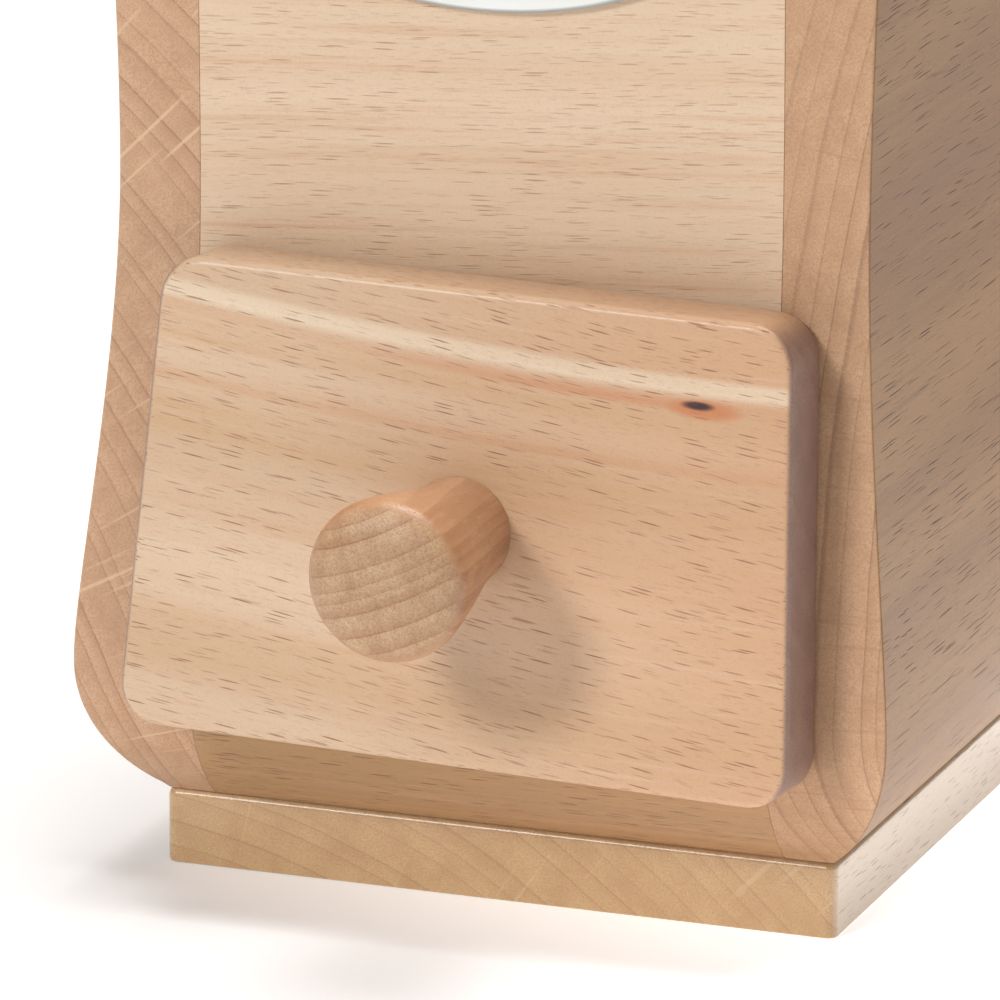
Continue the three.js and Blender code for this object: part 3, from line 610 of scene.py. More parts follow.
@dataclass(frozen=True)
class Enamel:
    """White vitreous enamel on an oval plate, with a thin grey edge that is painted shade along the
    plate's rounded rim.
    """

    half_width: float
    half_height: float
    centre_z: float
    name: str = "white_enamel"
    white: Colour = tone(236, 238, 236)
    cream: Colour = tone(226, 226, 218)
    # The colour of the painted shade along the plate's edge.
    edge: Colour = tone(140, 142, 142)
    relief: float = 0.02 * MM

    def material(self) -> bpy.types.Material:
        """Builds the node material."""
        shader = Shader(self.name)
        spot = shader.spot()
        across = spot.part(0) / (self.half_width / MM)
        up = (spot.part(2) - self.centre_z / MM) / (self.half_height / MM)
        reach = (across * across + up * up) ** 0.5
        bloom = shader.noise(spot, (0.12, 0.12, 0.12), 3.0)
        peel = shader.noise(spot, (0.9, 0.9, 0.9), 1.0)
        # Painted shade: the rim turns grey along the plate's rounded edge.
        rim = reach.between(0.955, 0.985)
        colour = shader.mix(self.white, self.cream, bloom)
        shader.feed(
            Base_Color=shader.mix(colour, self.edge, rim * 0.8),
            Roughness=0.12 + bloom * 0.08 + rim * 0.2,
            Coat_Weight=0.5 - rim * 0.4,
        )
        shader.bump(peel, self.relief)
        return shader.material


class Finish:
    """The metals that several sub-assemblies share."""

    chrome = Metal("bright_chrome", tone(232, 234, 236), tone(206, 208, 210), 0.1,
                   Texture.SPUN, spread=0.05, relief=0.002 * MM)
    bar = Metal("chromed_bar", tone(228, 230, 232), tone(200, 202, 204), 0.16,
                Texture.DRAWN, spread=0.07, relief=0.003 * MM)
    steel = Metal("zinc_plated_steel", tone(186, 188, 190), tone(150, 150, 148), 0.34,
                  Texture.DRAWN, relief=0.006 * MM)
    tinplate = Metal("tinplate", tone(206, 208, 208), tone(170, 170, 166), 0.28,
                     Texture.SPUN, relief=0.004 * MM)
    iron = Metal("cast_iron", tone(104, 104, 106), tone(66, 60, 56), 0.5,
                 Texture.CAST, spread=0.2, relief=0.05 * MM)
    brass = Metal("turned_brass", tone(222, 186, 112), tone(178, 138, 78), 0.24,
                  Texture.SPUN, relief=0.004 * MM)


# ---------------------------------------------------------------- shaping helpers


def block(low: Vector, high: Vector) -> BMesh:
    """A box.

    Args:
        low: Its lowest corner.
        high: Its highest corner.

    Returns:
        The mesh.
    """
    mesh = bmesh.new()
    bmesh.ops.create_cube(mesh, size=1.0)
    bmesh.ops.scale(mesh, vec=high - low, verts=mesh.verts)
    bmesh.ops.translate(mesh, vec=(low + high) / 2, verts=mesh.verts)
    return mesh


def slice_along(mesh: BMesh, axis: Vector, places: Iterable[float]) -> None:
    """Cuts a mesh across an axis at several places, so that it can be bent there.

    Args:
        mesh: The mesh to cut.
        axis: The direction along which the places are measured.
        places: The distances along the axis.
    """
    for distance in places:
        whole = [*mesh.verts, *mesh.edges, *mesh.faces]
        bmesh.ops.bisect_plane(mesh, geom=whole, plane_co=axis * distance, plane_no=axis)


def thicken(mesh: BMesh, push: Vector) -> None:
    """Makes a flat face solid, with its faces outwards.

    Args:
        mesh: The mesh, which holds the flat face only.
        push: How far and which way the face's copy is moved.
    """
    raised = bmesh.ops.extrude_face_region(mesh, geom=mesh.faces[:])
    copied = [item for item in raised["geom"] if isinstance(item, bmesh.types.BMVert)]
    bmesh.ops.translate(mesh, vec=push, verts=copied)
    bmesh.ops.recalc_face_normals(mesh, faces=mesh.faces)


def upright(edge: BMEdge, least: float = MM) -> bool:
    """True for an edge that climbs by more than a length."""
    return abs((edge.verts[0].co - edge.verts[1].co).z) > least


def soften(mesh: BMesh, width: float, segments: int = 3, above: float = 30.0,
           where: Callable[[BMEdge], bool] = lambda edge: True) -> None:
    """Rounds the sharp edges of a mesh.

    Args:
        mesh: The mesh to round.
        width: The round's reach from the edge.
        segments: The number of faces across the round.
        above: The least angle of an edge that counts as sharp, in degrees.
        where: Says which sharp edges are rounded.
    """
    least = math.radians(above)
    sharp = [e for e in mesh.edges if e.calc_face_angle(0.0) > least and where(e)]
    bmesh.ops.bevel(mesh, geom=sharp, offset=width, offset_type="OFFSET", affect="EDGES",
                    segments=segments, profile=0.5, material=-1, clamp_overlap=True)


def curve(start: tuple[float, float], leave: tuple[float, float], arrive: tuple[float, float],
          end: tuple[float, float], steps: int = 12) -> Outline:
    """Points along a smooth curve from start to end, with both ends.

    Args:
        start: The first point.
        leave: The handle that the curve leaves the start towards.
        arrive: The handle that it reaches the end from.
        end: The last point.
        steps: The number of stretches between points.

    Returns:
        The points as pairs.
    """
    knots = [Vector((*point, 0.0)) for point in (start, leave, arrive, end)]
    return [(point.x, point.y) for point in interpolate_bezier(*knots, steps + 1)]


def lathe(profile: Sequence[tuple[float, float]], steps: int = 96, closed: bool = False) -> BMesh:
    """Spins an outline of radii and heights about the upright axis.

    Args:
        profile: The outline's (radius, height) points.
        steps: The number of faces round the axis.
        closed: True where the outline's end joins its start.

    Returns:
        The turned mesh with its faces outwards.
    """
    mesh = bmesh.new()
    points = [mesh.verts.new((radius, 0.0, height)) for radius, height in profile]
    edges = [mesh.edges.new(pair) for pair in zip(points, points[1:])]
    if closed:
        edges.append(mesh.edges.new((points[-1], points[0])))
    bmesh.ops.spin(mesh, geom=[*points, *edges], cent=(0, 0, 0), axis=UP, angle=TURN,
                   steps=steps, use_merge=True)
    bmesh.ops.remove_doubles(mesh, verts=mesh.verts, dist=WELD)
    bmesh.ops.recalc_face_normals(mesh, faces=mesh.faces)
    return mesh


def rod(radius: float, low: float, high: float, steps: int) -> BMesh:
    """A closed upright cylinder on the axis, as a cutting tool."""
    return lathe([(0, low), (radius, low), (radius, high), (0, high)], steps)


def place(mesh: BMesh, *moves: Matrix) -> BMesh:
    """Moves a mesh by each matrix in turn and returns it."""
    for move in moves:
        bmesh.ops.transform(mesh, matrix=move, verts=mesh.verts)
    return mesh


def shift(x: float = 0.0, y: float = 0.0, z: float = 0.0) -> Matrix:
    """A move without a turn."""
    return Matrix.Translation((x, y, z))


def spin_about(axis: str, angle: float) -> Matrix:
    """A turn about an axis through the origin, in radians."""
    return Matrix.Rotation(angle, 4, axis)


def carved(mesh: BMesh, tools: Sequence[BMesh]) -> BMesh:
    """A mesh with the shapes of several tools cut out of it.

    Args:
        mesh: The mesh to cut, which is used up.
        tools: The closed cutting shapes, which are used up too.

    Returns:
        The cut mesh.
    """
    work = stand_in(mesh, "carved_work")
    cutters = [stand_in(tool, f"carving_tool_{number}") for number, tool in enumerate(tools)]
    for cutter in cutters:
        carve = work.modifiers.new(cutter.name, "BOOLEAN")
        carve.operation = "DIFFERENCE"
        carve.solver = "EXACT"
        carve.object = cutter
    bpy.context.view_layer.update()
    shaped = work.evaluated_get(bpy.context.evaluated_depsgraph_get()).to_mesh()
    result = bmesh.new()
    result.from_mesh(shaped)
    for helper in (work, *cutters):
        bpy.data.objects.remove(helper)
    bmesh.ops.remove_doubles(result, verts=result.verts, dist=WELD)
    return result


def stand_in(mesh: BMesh, name: str) -> bpy.types.Object:
    """Puts a mesh into the scene.

    Args:
        mesh: The mesh, which is used up.
        name: The object's name.

    Returns:
        The object, at the origin.
    """
    data = bpy.data.meshes.new(name)
    mesh.to_mesh(data)
    mesh.free()
    made = bpy.data.objects.new(name, data)
    bpy.context.scene.collection.objects.link(made)
    return made


def lean_on_large_faces(data: bpy.types.Mesh) -> None:
    """Turns each corner's normal towards its largest faces, so that flat faces look flat.

    Args:
        data: The mesh, whose faces are smooth.
    """
    sums = [Vector() for _ in data.vertices]
    for polygon in data.polygons:
        push = polygon.normal * polygon.area
        for corner in polygon.vertices:
            sums[corner] += push
    data.normals_split_custom_set_from_vertices([total.normalized() for total in sums])


def finish_piece(mesh: BMesh, name: str, body: str, material: bpy.types.Material,
                 replaces: Sequence[str]) -> bpy.types.Object:
    """Makes a named piece that rides on a body.

    Args:
        mesh: The finished mesh, which is used up.
        name: The piece's name.
        body: The body that it moves with.
        material: The piece's finish.
        replaces: The nodes that it stands for.

    Returns:
        The piece's object.
    """
    made = stand_in(mesh, name)
    made.data.shade_smooth()
    lean_on_large_faces(made.data)
    made.data.materials.append(material)
    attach(made, body)
    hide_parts(*replaces)
    LOG.info("%s: %d faces on %s", name, len(made.data.polygons), body)
    return made


def dress(material: bpy.types.Material, *nodes: str) -> None:
    """Gives nodes that stay as they are a finish of their own.

    Args:
        material: The finish.
        *nodes: The nodes' names.
    """
    for name in nodes:
        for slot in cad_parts[name].material_slots:
            slot.link = "OBJECT"
            slot.material = material
        LOG.info("%s: dressed in %s", name, material.name)


# ---------------------------------------------------------------- the box


@dataclass
class Ogee:
    """The outline of every face of the box, as half widths over heights."""

    tuck: tuple[float, float] = (49.8 * MM, 11 * MM)
    bulge: tuple[float, float] = (60 * MM, 31.4 * MM)
    waist: tuple[float, float] = (54.7 * MM, 103 * MM)
    brim: tuple[float, float] = (57.6 * MM, 172 * MM)
    tuck_handle: tuple[float, float] = (5.4 * MM, 4.2 * MM)
    bulge_handles: tuple[float, float] = (8.9 * MM, 11 * MM)
    waist_handles: tuple[float, float] = (29 * MM, 25 * MM)
    brim_handle: tuple[float, float] = (1.3 * MM, 17 * MM)
    points: Outline = field(init=False)

    def __post_init__(self) -> None:
        """Samples the three curves of the outline from the plinth to the top board."""
        (tuck, foot), (bulge, wide), (waist, thin) = self.tuck, self.bulge, self.waist
        brim, top = self.brim
        leave = (tuck + self.tuck_handle[0], foot + self.tuck_handle[1])
        lower = curve(self.tuck, leave, (bulge, wide - self.bulge_handles[0]), self.bulge, 24)
        middle = curve(self.bulge, (bulge, wide + self.bulge_handles[1]),
                       (waist, thin - self.waist_handles[0]), self.waist, 32)
        arrive = (brim - self.brim_handle[0], top - self.brim_handle[1])
        upper = curve(self.waist, (waist, thin + self.waist_handles[1]), arrive, self.brim, 20)
        self.points = lower + middle[1:] + upper[1:]

    def heights(self, low: float, high: float) -> list[float]:
        """The outline's own heights between two others, a little inside them."""
        margin = 0.2 * MM
        return [z for _, z in self.points if low + margin < z < high - margin]

    def half(self, z: float) -> float:
        """The half width at a height.

        Args:
            z: The height.

        Returns:
            The distance from the middle of the box to its outer face.
        """
        for (near, low), (far, high) in zip(self.points, self.points[1:]):
            if z <= high:
                return near + (far - near) * (z - low) / (high - low)
        return self.points[-1][0]


@dataclass
class Box:
    """The four boards round the well, the rail under the drawer, the plinth and the top board."""

    ogee: Ogee = field(default_factory=Ogee)
    skin: float = 5 * MM  # from the tuck inwards, where faces count as outer ones
    arris: float = 0.55 * MM
    joint: float = 0.14 * MM
    plinth_edge: float = 1.2 * MM
    plinth_corner: float = 1.5 * MM
    plinth_foot: float = 0.3 * MM
    screw_head: float = 3.9 * MM
    screw_depth: float = 4 * MM
    top_corner: float = 6 * MM
    top_edge: float = 2.6 * MM
    mouth: float = 40 * MM
    bolt_hole: float = 2.05 * MM
    bolt_circle: float = 49 * MM

    def build(self) -> None:
        """Builds and dresses every piece of the box."""
        for node, (outer, wood) in self._woods().items():
            mesh = self._board(*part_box(node), outer)
            finish_piece(mesh, f"{node}_board", "housing", wood.material(), [node])
        self._plinth()
        self._top_board()

    @staticmethod
    def _woods() -> dict[str, tuple[str, Beech]]:
        """Each board's axes that end in outer faces, and its wood."""
        return {
            "left_side": ("xy", Beech(
                "left_side_beech", Grain.Y, pith=(-183.0, -25.0), ring=3.3, end_ring_show=0.8,
                end_pale=tone(210, 170, 136), end_deep=tone(172, 128, 95), ray_show=0.6,
                fleck_size=(15.0, 0.44), pale=tone(206, 172, 138), deep=tone(184, 148, 114))),
            # Painted shade: the right board's tones are darker and browner than the left one's,
            # partly its own wood and partly painted shade, as its outer face lies in shade.
            "right_side": ("xy", Beech(
                "right_side_beech", Grain.Y, pith=(370.0, 46.0), ring=3.0, sweep=(34.0, 0.011),
                end_pale=tone(206, 168, 134), end_deep=tone(172, 130, 100),
                ray=tone(170, 126, 96), pale=tone(162, 118, 66), deep=tone(142, 98, 50),
                streak=tone(128, 86, 44), fleck=tone(80, 52, 34), fleck_size=(15.0, 0.44),
                gloss=0.2)),
            "front_panel": ("y", Beech(
                "front_panel_beech", Grain.X, pith=(60.0, 60.0), ring=6.0, dip=-0.06,
                slant=-0.06, fleck_show=0.6, fleck=tone(160, 116, 86))),
            # Painted shade: the rail's darker tones stand for the shade under the drawer front.
            "front_rail": ("y", Beech(
                "front_rail_beech", Grain.X, pith=(30.0, -60.0), ring=4.0,
                pale=tone(188, 152, 106), deep=tone(174, 132, 88))),
            "back_panel": ("y", Beech(
                "back_panel_beech", Grain.X, pith=(-50.0, 120.0), ring=6.0)),
        }

    def _board(self, low: Vector, high: Vector, outer: str) -> BMesh:
        """A board whose outer faces follow the ogee.

        Args:
            low: The lowest corner of the board's box.
            high: The highest corner of the board's box.
            outer: The axes on which the board ends in outer faces.

        Returns:
            The shaped mesh with its arrises rounded.
        """
        mesh = block(low, high)
        slice_along(mesh, UP, self.ogee.heights(low.z, high.z))
        inside = self.ogee.tuck[0] - self.skin
        for vert in mesh.verts:
            half = self.ogee.half(vert.co.z)
            for axis in outer:
                reach = getattr(vert.co, axis)
                if abs(reach) > inside:
                    setattr(vert.co, axis, math.copysign(half, reach))

        def on_arris(edge: BMEdge) -> bool:
            """True for an upright edge between two outer faces."""
            middle = (edge.verts[0].co + edge.verts[1].co) / 2
            return min(abs(middle.x), abs(middle.y)) > inside and upright(edge, 0.1 * MM)

        soften(mesh, self.arris, 4, 60, on_arris)
        soften(mesh, self.joint, 2, 40)
        return mesh

    def _plinth(self) -> None:
        """The plinth, with a counterbore for each of the four screws."""
        low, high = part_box("base_plinth")
        mesh = block(low, high)
        soften(mesh, self.plinth_corner, 4, 60, upright)
        soften(mesh, self.plinth_edge, 3, 60, lambda e: min(v.co.z for v in e.verts) > MM)
        soften(mesh, self.plinth_foot, 2, 60)
        tools = []
        for number in range(1, 5):
            near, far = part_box(f"plinth_screw_{number}")
            middle = (near + far) / 2
            bore = rod(self.screw_head, -MM, self.screw_depth, 32)
            tools.append(place(bore, shift(middle.x, middle.y)))
        wood = Beech("plinth_beech", Grain.Y, pith=(-60.0, -95.0), ring=3.4,
                     end_pale=tone(208, 172, 124), end_deep=tone(174, 130, 84),
                     end_ring_show=0.5, lacquer=1.0, pale=tone(214, 190, 156),
                     deep=tone(196, 166, 128))
        finish_piece(carved(mesh, tools), "plinth_board", "housing",
                     wood.material(), ["base_plinth"])

    def _top_board(self) -> None:
        """The top board, with the hopper's mouth and the four bolt holes."""
        low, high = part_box("top_board")
        mesh = block(low, high)
        soften(mesh, self.top_corner, 8, 60, upright)
        soften(mesh, self.top_edge, 5, 60)
        past = 5 * MM
        holes = [(0.0, 0.0, self.mouth)]
        for quarter in range(4):
            angle = TURN * (quarter + 0.5) / 4
            x, y = self.bolt_circle * math.cos(angle), self.bolt_circle * math.sin(angle)
            holes.append((x, y, self.bolt_hole))
        tools = []
        for x, y, radius in holes:
            tools.append(place(rod(radius, low.z - past, high.z + past, 64), shift(x, y)))
        wood = Beech("top_board_beech", Grain.X, pith=(0.0, -120.0), ring=3.2)
        finish_piece(carved(mesh, tools), "top_deck_board", "housing", wood.material(),
                     ["top_board"])


@dataclass
class Badge:
    """The oval enamel badge on the front panel and its two pins."""

    thickness: float = 1.2 * MM
    edge: float = 0.45 * MM
    pin_shank: float = 0.5 * MM
    pin_buried: float = 0.6 * MM
    pin_head: float = 1.35 * MM

    def build(self) -> None:
        """Builds the plate and the pins."""
        low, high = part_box("oval_badge")
        centre = (low + high) / 2
        half_x, half_z = (high.x - low.x) / 2, (high.z - low.z) / 2
        tilt = math.atan2((high.y - low.y) - self.thickness, 2 * half_z)
        mesh = bmesh.new()
        bmesh.ops.create_circle(mesh, cap_ends=True, radius=1.0, segments=128)
        place(mesh, Matrix.Diagonal((half_x, half_z, 1.0, 1.0)))
        thicken(mesh, self.thickness * UP)
        soften(mesh, self.edge, 4, 60)
        back_y = high.y - (high.y - low.y - self.thickness) / 2
        stand, leaning = spin_about("X", math.pi / 2), spin_about("X", tilt)
        place(mesh, stand, leaning, shift(centre.x, back_y, centre.z))
        enamel = Enamel(half_x, half_z, centre.z)
        finish_piece(mesh, "enamel_badge", "housing", enamel.material(), ["oval_badge"])
        brass = Finish.brass.material()
        for hand in ("left", "right"):
            pin_low, pin_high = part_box(f"badge_pin_{hand}")
            middle = (pin_low + pin_high) / 2
            head = lathe([(0, -self.pin_buried), (self.pin_shank, -self.pin_buried),
                          (self.pin_shank, 0.6 * MM),
                          *curve((self.pin_head, 0.6 * MM), (self.pin_head, 1.1 * MM),
                                 (0.8 * MM, 1.38 * MM), (0, 1.4 * MM), 6)], 32)
            place(head, stand, leaning, shift(middle.x, middle.y, middle.z))
            finish_piece(head, f"badge_pin_head_{hand}", "housing", brass,
                         [f"badge_pin_{hand}"])


# ---------------------------------------------------------------- the drawer


@dataclass
class Drawer:
    """The drawer: a leaning front with a turned knob, and a box behind it."""

    lean: float = math.radians(4.6)
    twist: float = math.radians(1.5)
    shift_x: float = 2 * MM
    bottom: float = 25.2 * MM
    height: float = 66.4 * MM
    top_half: float = 45.6 * MM
    bottom_half: float = 49.1 * MM
    corner: float = 6.2 * MM
    thickness: float = 12.5 * MM
    round_front: float = 1.15 * MM
    round_back: float = 0.9 * MM
    hinge_y: float = -60.3 * MM
    hinge_z: float = 31.4 * MM
    box_edge: float = 0.5 * MM
    knob_x: float = 1.8 * MM
    knob_z: float = 59 * MM
    knob_length: float = 30.5 * MM
    knob_foot: float = 7.6 * MM
    knob_head: float = 11.3 * MM
    knob_buried: float = 3 * MM
    front_gap: float = 0.3 * MM

    def back_y(self, z: float) -> float:
        """Where the front board's back face lies at a height."""
        return self.hinge_y + math.tan(self.lean) * (z - self.hinge_z)

    def build(self) -> None:
        """Builds the front, the knob and the box."""
        self._front()
        self._knob()
        self._box()

    def _front(self) -> None:
        """The front board, wider at its foot, with round corners and softened edges."""
        mesh = bmesh.new()
        half = self.height / 2
        corners = [(-self.bottom_half, -half), (self.bottom_half, -half),
                   (self.top_half, half), (-self.top_half, half)]
        face = mesh.faces.new([mesh.verts.new((x, 0.0, z)) for x, z in corners])
        bmesh.ops.bevel(mesh, geom=face.verts[:], offset=self.corner, offset_type="OFFSET",
                        affect="VERTICES", segments=10, profile=0.5, material=-1)
        thicken(mesh, Vector((0, -self.thickness, 0)))
        middle = -self.thickness / 2
        soften(mesh, self.round_front, 6, 60, lambda e: max(v.co.y for v in e.verts) < middle)
        soften(mesh, self.round_back, 4, 60, lambda e: min(v.co.y for v in e.verts) > middle)
        centre_z = self.bottom + half * math.cos(self.lean)
        place(mesh, spin_about("Y", self.twist), spin_about("X", -self.lean),
              shift(self.shift_x, self.back_y(centre_z), centre_z))
        cream, tan, red = tone(234, 216, 190), tone(200, 160, 118), tone(200, 146, 106)
        bands = (Band(84.4, 2.0, cream, 0.6), Band(81.6, 1.2, red, 0.3),
                 Band(79.0, 3.0, tan, 0.35), Band(72.2, 1.0, red, 0.35),
                 Band(67.5, 5.5, tan, 0.45), Band(36.0, 6.0, tan, 0.3))
        # Painted shade: the end grain's dark tones stand for the shade on the board's right end,
        # and the painted falloff darkens the board towards its right end.
        wood = Beech("drawer_front_beech", Grain.X, pith=(25.0, 150.0), ring=6.5, dip=0.086,
                     bow=0.00075, slant=0.15, painted_falloff=12.0, ray_show=0.0,
                     pale=tone(219, 191, 162), deep=tone(205, 173, 141),
                     fleck=tone(146, 94, 68), end_pale=tone(150, 118, 102),
                     end_deep=tone(114, 84, 76), knot=Knot(along=35.5, across=81.6), bands=bands)
        finish_piece(mesh, "drawer_front_board", "drawer", wood.material(),
                     ["drawer_front"])

    def _knob(self) -> None:
        """The turned knob, whose foot is cut to the slope of the board."""
        length, foot, head = self.knob_length, self.knob_foot, self.knob_head
        profile = [
            (0, -self.knob_buried), (foot, -self.knob_buried),
            *curve((foot, 0.8 * MM), (foot, 0.25 * length), (head - 0.7 * MM, 0.6 * length),
                   (head, 0.85 * length), 20),
            *curve((head, 0.85 * length), (head, 0.95 * length), (0.75 * head, length),
                   (0, length), 22)[1:],
        ]
        face_y = self.back_y(self.knob_z) - self.thickness / math.cos(self.lean)
        mesh = place(lathe(profile, 112), spin_about("X", math.pi / 2),
                     shift(self.knob_x, face_y, self.knob_z))
        outwards = Vector((0, -math.cos(self.lean), math.sin(self.lean)))
        gap = 0.05 * MM
        whole = [*mesh.verts, *mesh.edges, *mesh.faces]
        cut = bmesh.ops.bisect_plane(mesh, geom=whole, plane_no=outwards, clear_inner=True,
                                     plane_co=Vector((0, face_y - gap, self.knob_z)))
        rim = [item for item in cut["geom_cut"] if isinstance(item, BMEdge)]
        bmesh.ops.contextual_create(mesh, geom=rim)
        bmesh.ops.recalc_face_normals(mesh, faces=mesh.faces)
        soften(mesh, 0.25 * MM, 2, 50)
        wood = Beech("drawer_knob_beech", Grain.Y, pith=(-24.6, 122.0), ring=2.5, ray_show=0.0,
                     pale=tone(182, 134, 96), deep=tone(162, 112, 76), fleck_show=0.3,
                     end_pale=tone(198, 166, 130), end_deep=tone(148, 98, 64),
                     end_ring_show=1.0, ring_show=0.5, fleck=tone(158, 106, 72))
        finish_piece(mesh, "turned_drawer_knob", "drawer", wood.material(),
                     ["drawer_knob"])

    def _box(self) -> None:
        """The drawer's sides, back and floor, cut where they meet the leaning front."""
        side = Beech("drawer_side_beech", Grain.Y, pith=(80.0, 20.0), ring=3.0).material()
        across = Beech("drawer_back_beech", Grain.X, pith=(90.0, 40.0), ring=3.4).material()
        for node, name, wood in (("drawer_side_left", "drawer_left_board", side),
                                 ("drawer_side_right", "drawer_right_board", side),
                                 ("drawer_back", "drawer_rear_board", across)):
            mesh = self._behind_front(node)
            soften(mesh, self.box_edge, 3, 40)
            finish_piece(mesh, name, "drawer", wood, [node])
        floor = self._behind_front("drawer_floor")
        soften(floor, 0.1 * MM, 1, 40)
        finish_piece(floor, "drawer_floor_sheet", "drawer", Plywood().material(),
                     ["drawer_floor"])

    def _behind_front(self, node: str) -> BMesh:
        """A node's box, with any front end cut to the slope of the front board.

        Args:
            node: The node's name.

        Returns:
            The mesh.
        """
        mesh = block(*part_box(node))
        for vert in mesh.verts:
            if vert.co.y < 0:
                vert.co.y = self.back_y(vert.co.z) + self.front_gap
        return mesh


# ---------------------------------------------------------------- hopper and dome


@dataclass
class Dome:
    """The chromed dome with its filling window, the shutter, the hopper, the bush and the bolts."""

    radius: float = 44 * MM
    rise: float = 34 * MM
    sheet: float = 1.2 * MM
    deck: float = 181 * MM
    hopper_sheet: float = 1 * MM
    neck: float = 7.4 * MM
    flange: float = 54 * MM
    window_half: int = 26
    window_inner: float = 19 * MM
    window_outer: float = 38.5 * MM
    shutter_half: int = 34
    shutter_gap: float = 0.4 * MM
    shutter_sheet: float = 1 * MM
    shutter_ring: float = 13 * MM
    shutter_outer: float = 41.3 * MM
    button_at: float = 35 * MM
    steps: int = 180

    @property
    def foot(self) -> float:
        """The height of the dome foot's upper face."""
        return self.deck + self.hopper_sheet + self.sheet

    def build(self) -> None:
        """Builds and dresses every piece."""
        chrome = Finish.chrome.material()
        self._shell(chrome)
        self._shutter(chrome)
        self._hopper()
        self._bush()
        self._bolts()

    def _arc(self, offset: float, inner: float, outer: float, steps: int) -> Outline:
        """Points of the dome's ellipse, outwards and downwards.

        Args:
            offset: How far the ellipse lies outside the dome.
            inner: The first point's radius.
            outer: The last point's radius.
            steps: The number of stretches between points.

        Returns:
            The points as (radius, height) pairs.
        """
        a, b = self.radius + offset, self.rise + offset
        first, last = math.acos(min(outer / a, 1.0)), math.acos(inner / a)
        turns = [first + (last - first) * step / steps for step in range(steps, -1, -1)]
        return [(a * math.cos(turn), self.foot + b * math.sin(turn)) for turn in turns]

    def _skin(self, profile: Outline, keep: Callable[[float, float], bool],
              thickness: float) -> BMesh:
        """A sheet spun from a profile, with part of it cut away, then given its thickness.

        Args:
            profile: The outer face's outline.
            keep: Says, by radius and by degrees from the front, which faces stay.
            thickness: The sheet's thickness, inwards.

        Returns:
            The closed sheet.
        """
        mesh = lathe(profile, self.steps)
        if sum(face.normal.z for face in mesh.faces) < 0:
            bmesh.ops.reverse_faces(mesh, faces=mesh.faces)
        gone = []
        for face in mesh.faces:
            centre = face.calc_center_median()
            angle = math.degrees(math.atan2(centre.x, -centre.y))
            if not keep(math.hypot(centre.x, centre.y), angle):
                gone.append(face)
        bmesh.ops.delete(mesh, geom=gone, context="FACES")
        bmesh.ops.solidify(mesh, geom=mesh.faces[:], thickness=thickness)
        bmesh.ops.recalc_face_normals(mesh, faces=mesh.faces)
        soften(mesh, 0.25 * MM, 2, 55)
        return mesh

    def _shell(self, chrome: bpy.types.Material) -> None:
        """The dome and its foot, with the filling window."""
        foot, inner, outer = self.foot, self.window_inner, self.window_outer
        wall = [
            *self._arc(0, self.neck, inner, 8),
            *self._arc(0, inner, outer, 14)[1:],
            *self._arc(0, outer, self.radius - 0.4 * MM, 10)[1:],
        ]
        flare = curve(wall[-1], (self.radius, foot + 2.4 * MM), (self.radius + 0.6 * MM, foot),
                      (self.radius + 2.6 * MM, foot), 8)
        rim = [(self.flange, foot)]

        def keep(radius: float, angle: float) -> bool:
            """False over the filling window."""
            return not (abs(angle) < self.window_half and inner < radius < outer)

        mesh = self._skin([*wall, *flare[1:], *rim], keep, self.sheet)
        finish_piece(mesh, "dome_shell", "housing", chrome, ["dome_cover"])

    def _shutter(self, chrome: bpy.types.Material) -> None:
        """The shutter that turns over the window, and its button."""
        outside = self.shutter_gap + self.shutter_sheet
        profile = [
            *self._arc(outside, self.neck + 0.3 * MM, self.shutter_ring, 6),
            *self._arc(outside, self.shutter_ring, self.shutter_outer, 20)[1:],
        ]

        def keep(radius: float, angle: float) -> bool:
            """True over the blade and over the ring round the bush."""
            return radius < self.shutter_ring or abs(angle) < self.shutter_half

        mesh = self._skin(profile, keep, self.shutter_sheet)
        finish_piece(mesh, "shutter_blade", "shutter", chrome, ["fill_shutter"])
        a, b = self.radius + outside, self.rise + outside
        turn = math.acos(self.button_at / a)
        seat = self.foot + b * math.sin(turn)
        tilt = math.atan2(math.cos(turn) / a, math.sin(turn) / b)
        shape = [
            (0, 0.1 * MM), (1.9 * MM, 0.1 * MM), (1.5 * MM, 0.9 * MM), (1.6 * MM, 2.4 * MM),
            *curve((3.2 * MM, 3.4 * MM), (3.9 * MM, 3.9 * MM), (3.9 * MM, 4.8 * MM),
                   (2.8 * MM, 5.6 * MM), 8),
            *curve((2.8 * MM, 5.6 * MM), (2.1 * MM, 6.0 * MM), (1.0 * MM, 6.1 * MM),
                   (0, 6.1 * MM), 5)[1:],
        ]
        button = place(lathe(shape, 48), spin_about("X", tilt), shift(0, -self.button_at, seat))
        finish_piece(button, "shutter_button_turned", "shutter",
                     Finish.brass.material(), ["shutter_button"])

    def _hopper(self) -> None:
        """The sheet hopper under the dome."""
        mouth, spout, wall = 39.7 * MM, 16.5 * MM, 1.2 * MM
        spout_top, spout_bottom = 148 * MM, 141 * MM
        top = self.deck + self.hopper_sheet
        profile = [
            (self.flange, self.deck), (mouth, self.deck),
            *curve((mouth, self.deck - MM), (mouth - MM, self.deck - 3 * MM),
                   (spout + 3 * MM, spout_top + 3 * MM), (spout, spout_top), 6),
            (spout, spout_bottom), (spout - wall, spout_bottom), (spout - wall, spout_top),
            (mouth - 2 * wall, self.deck - 2 * MM), (mouth - wall, top), (self.flange, top),
        ]
        mesh = lathe(profile, 96, closed=True)
        soften(mesh, 0.15 * MM, 1, 50)
        finish_piece(mesh, "hopper_cone", "housing", Finish.tinplate.material(),
                     ["hopper_funnel"])

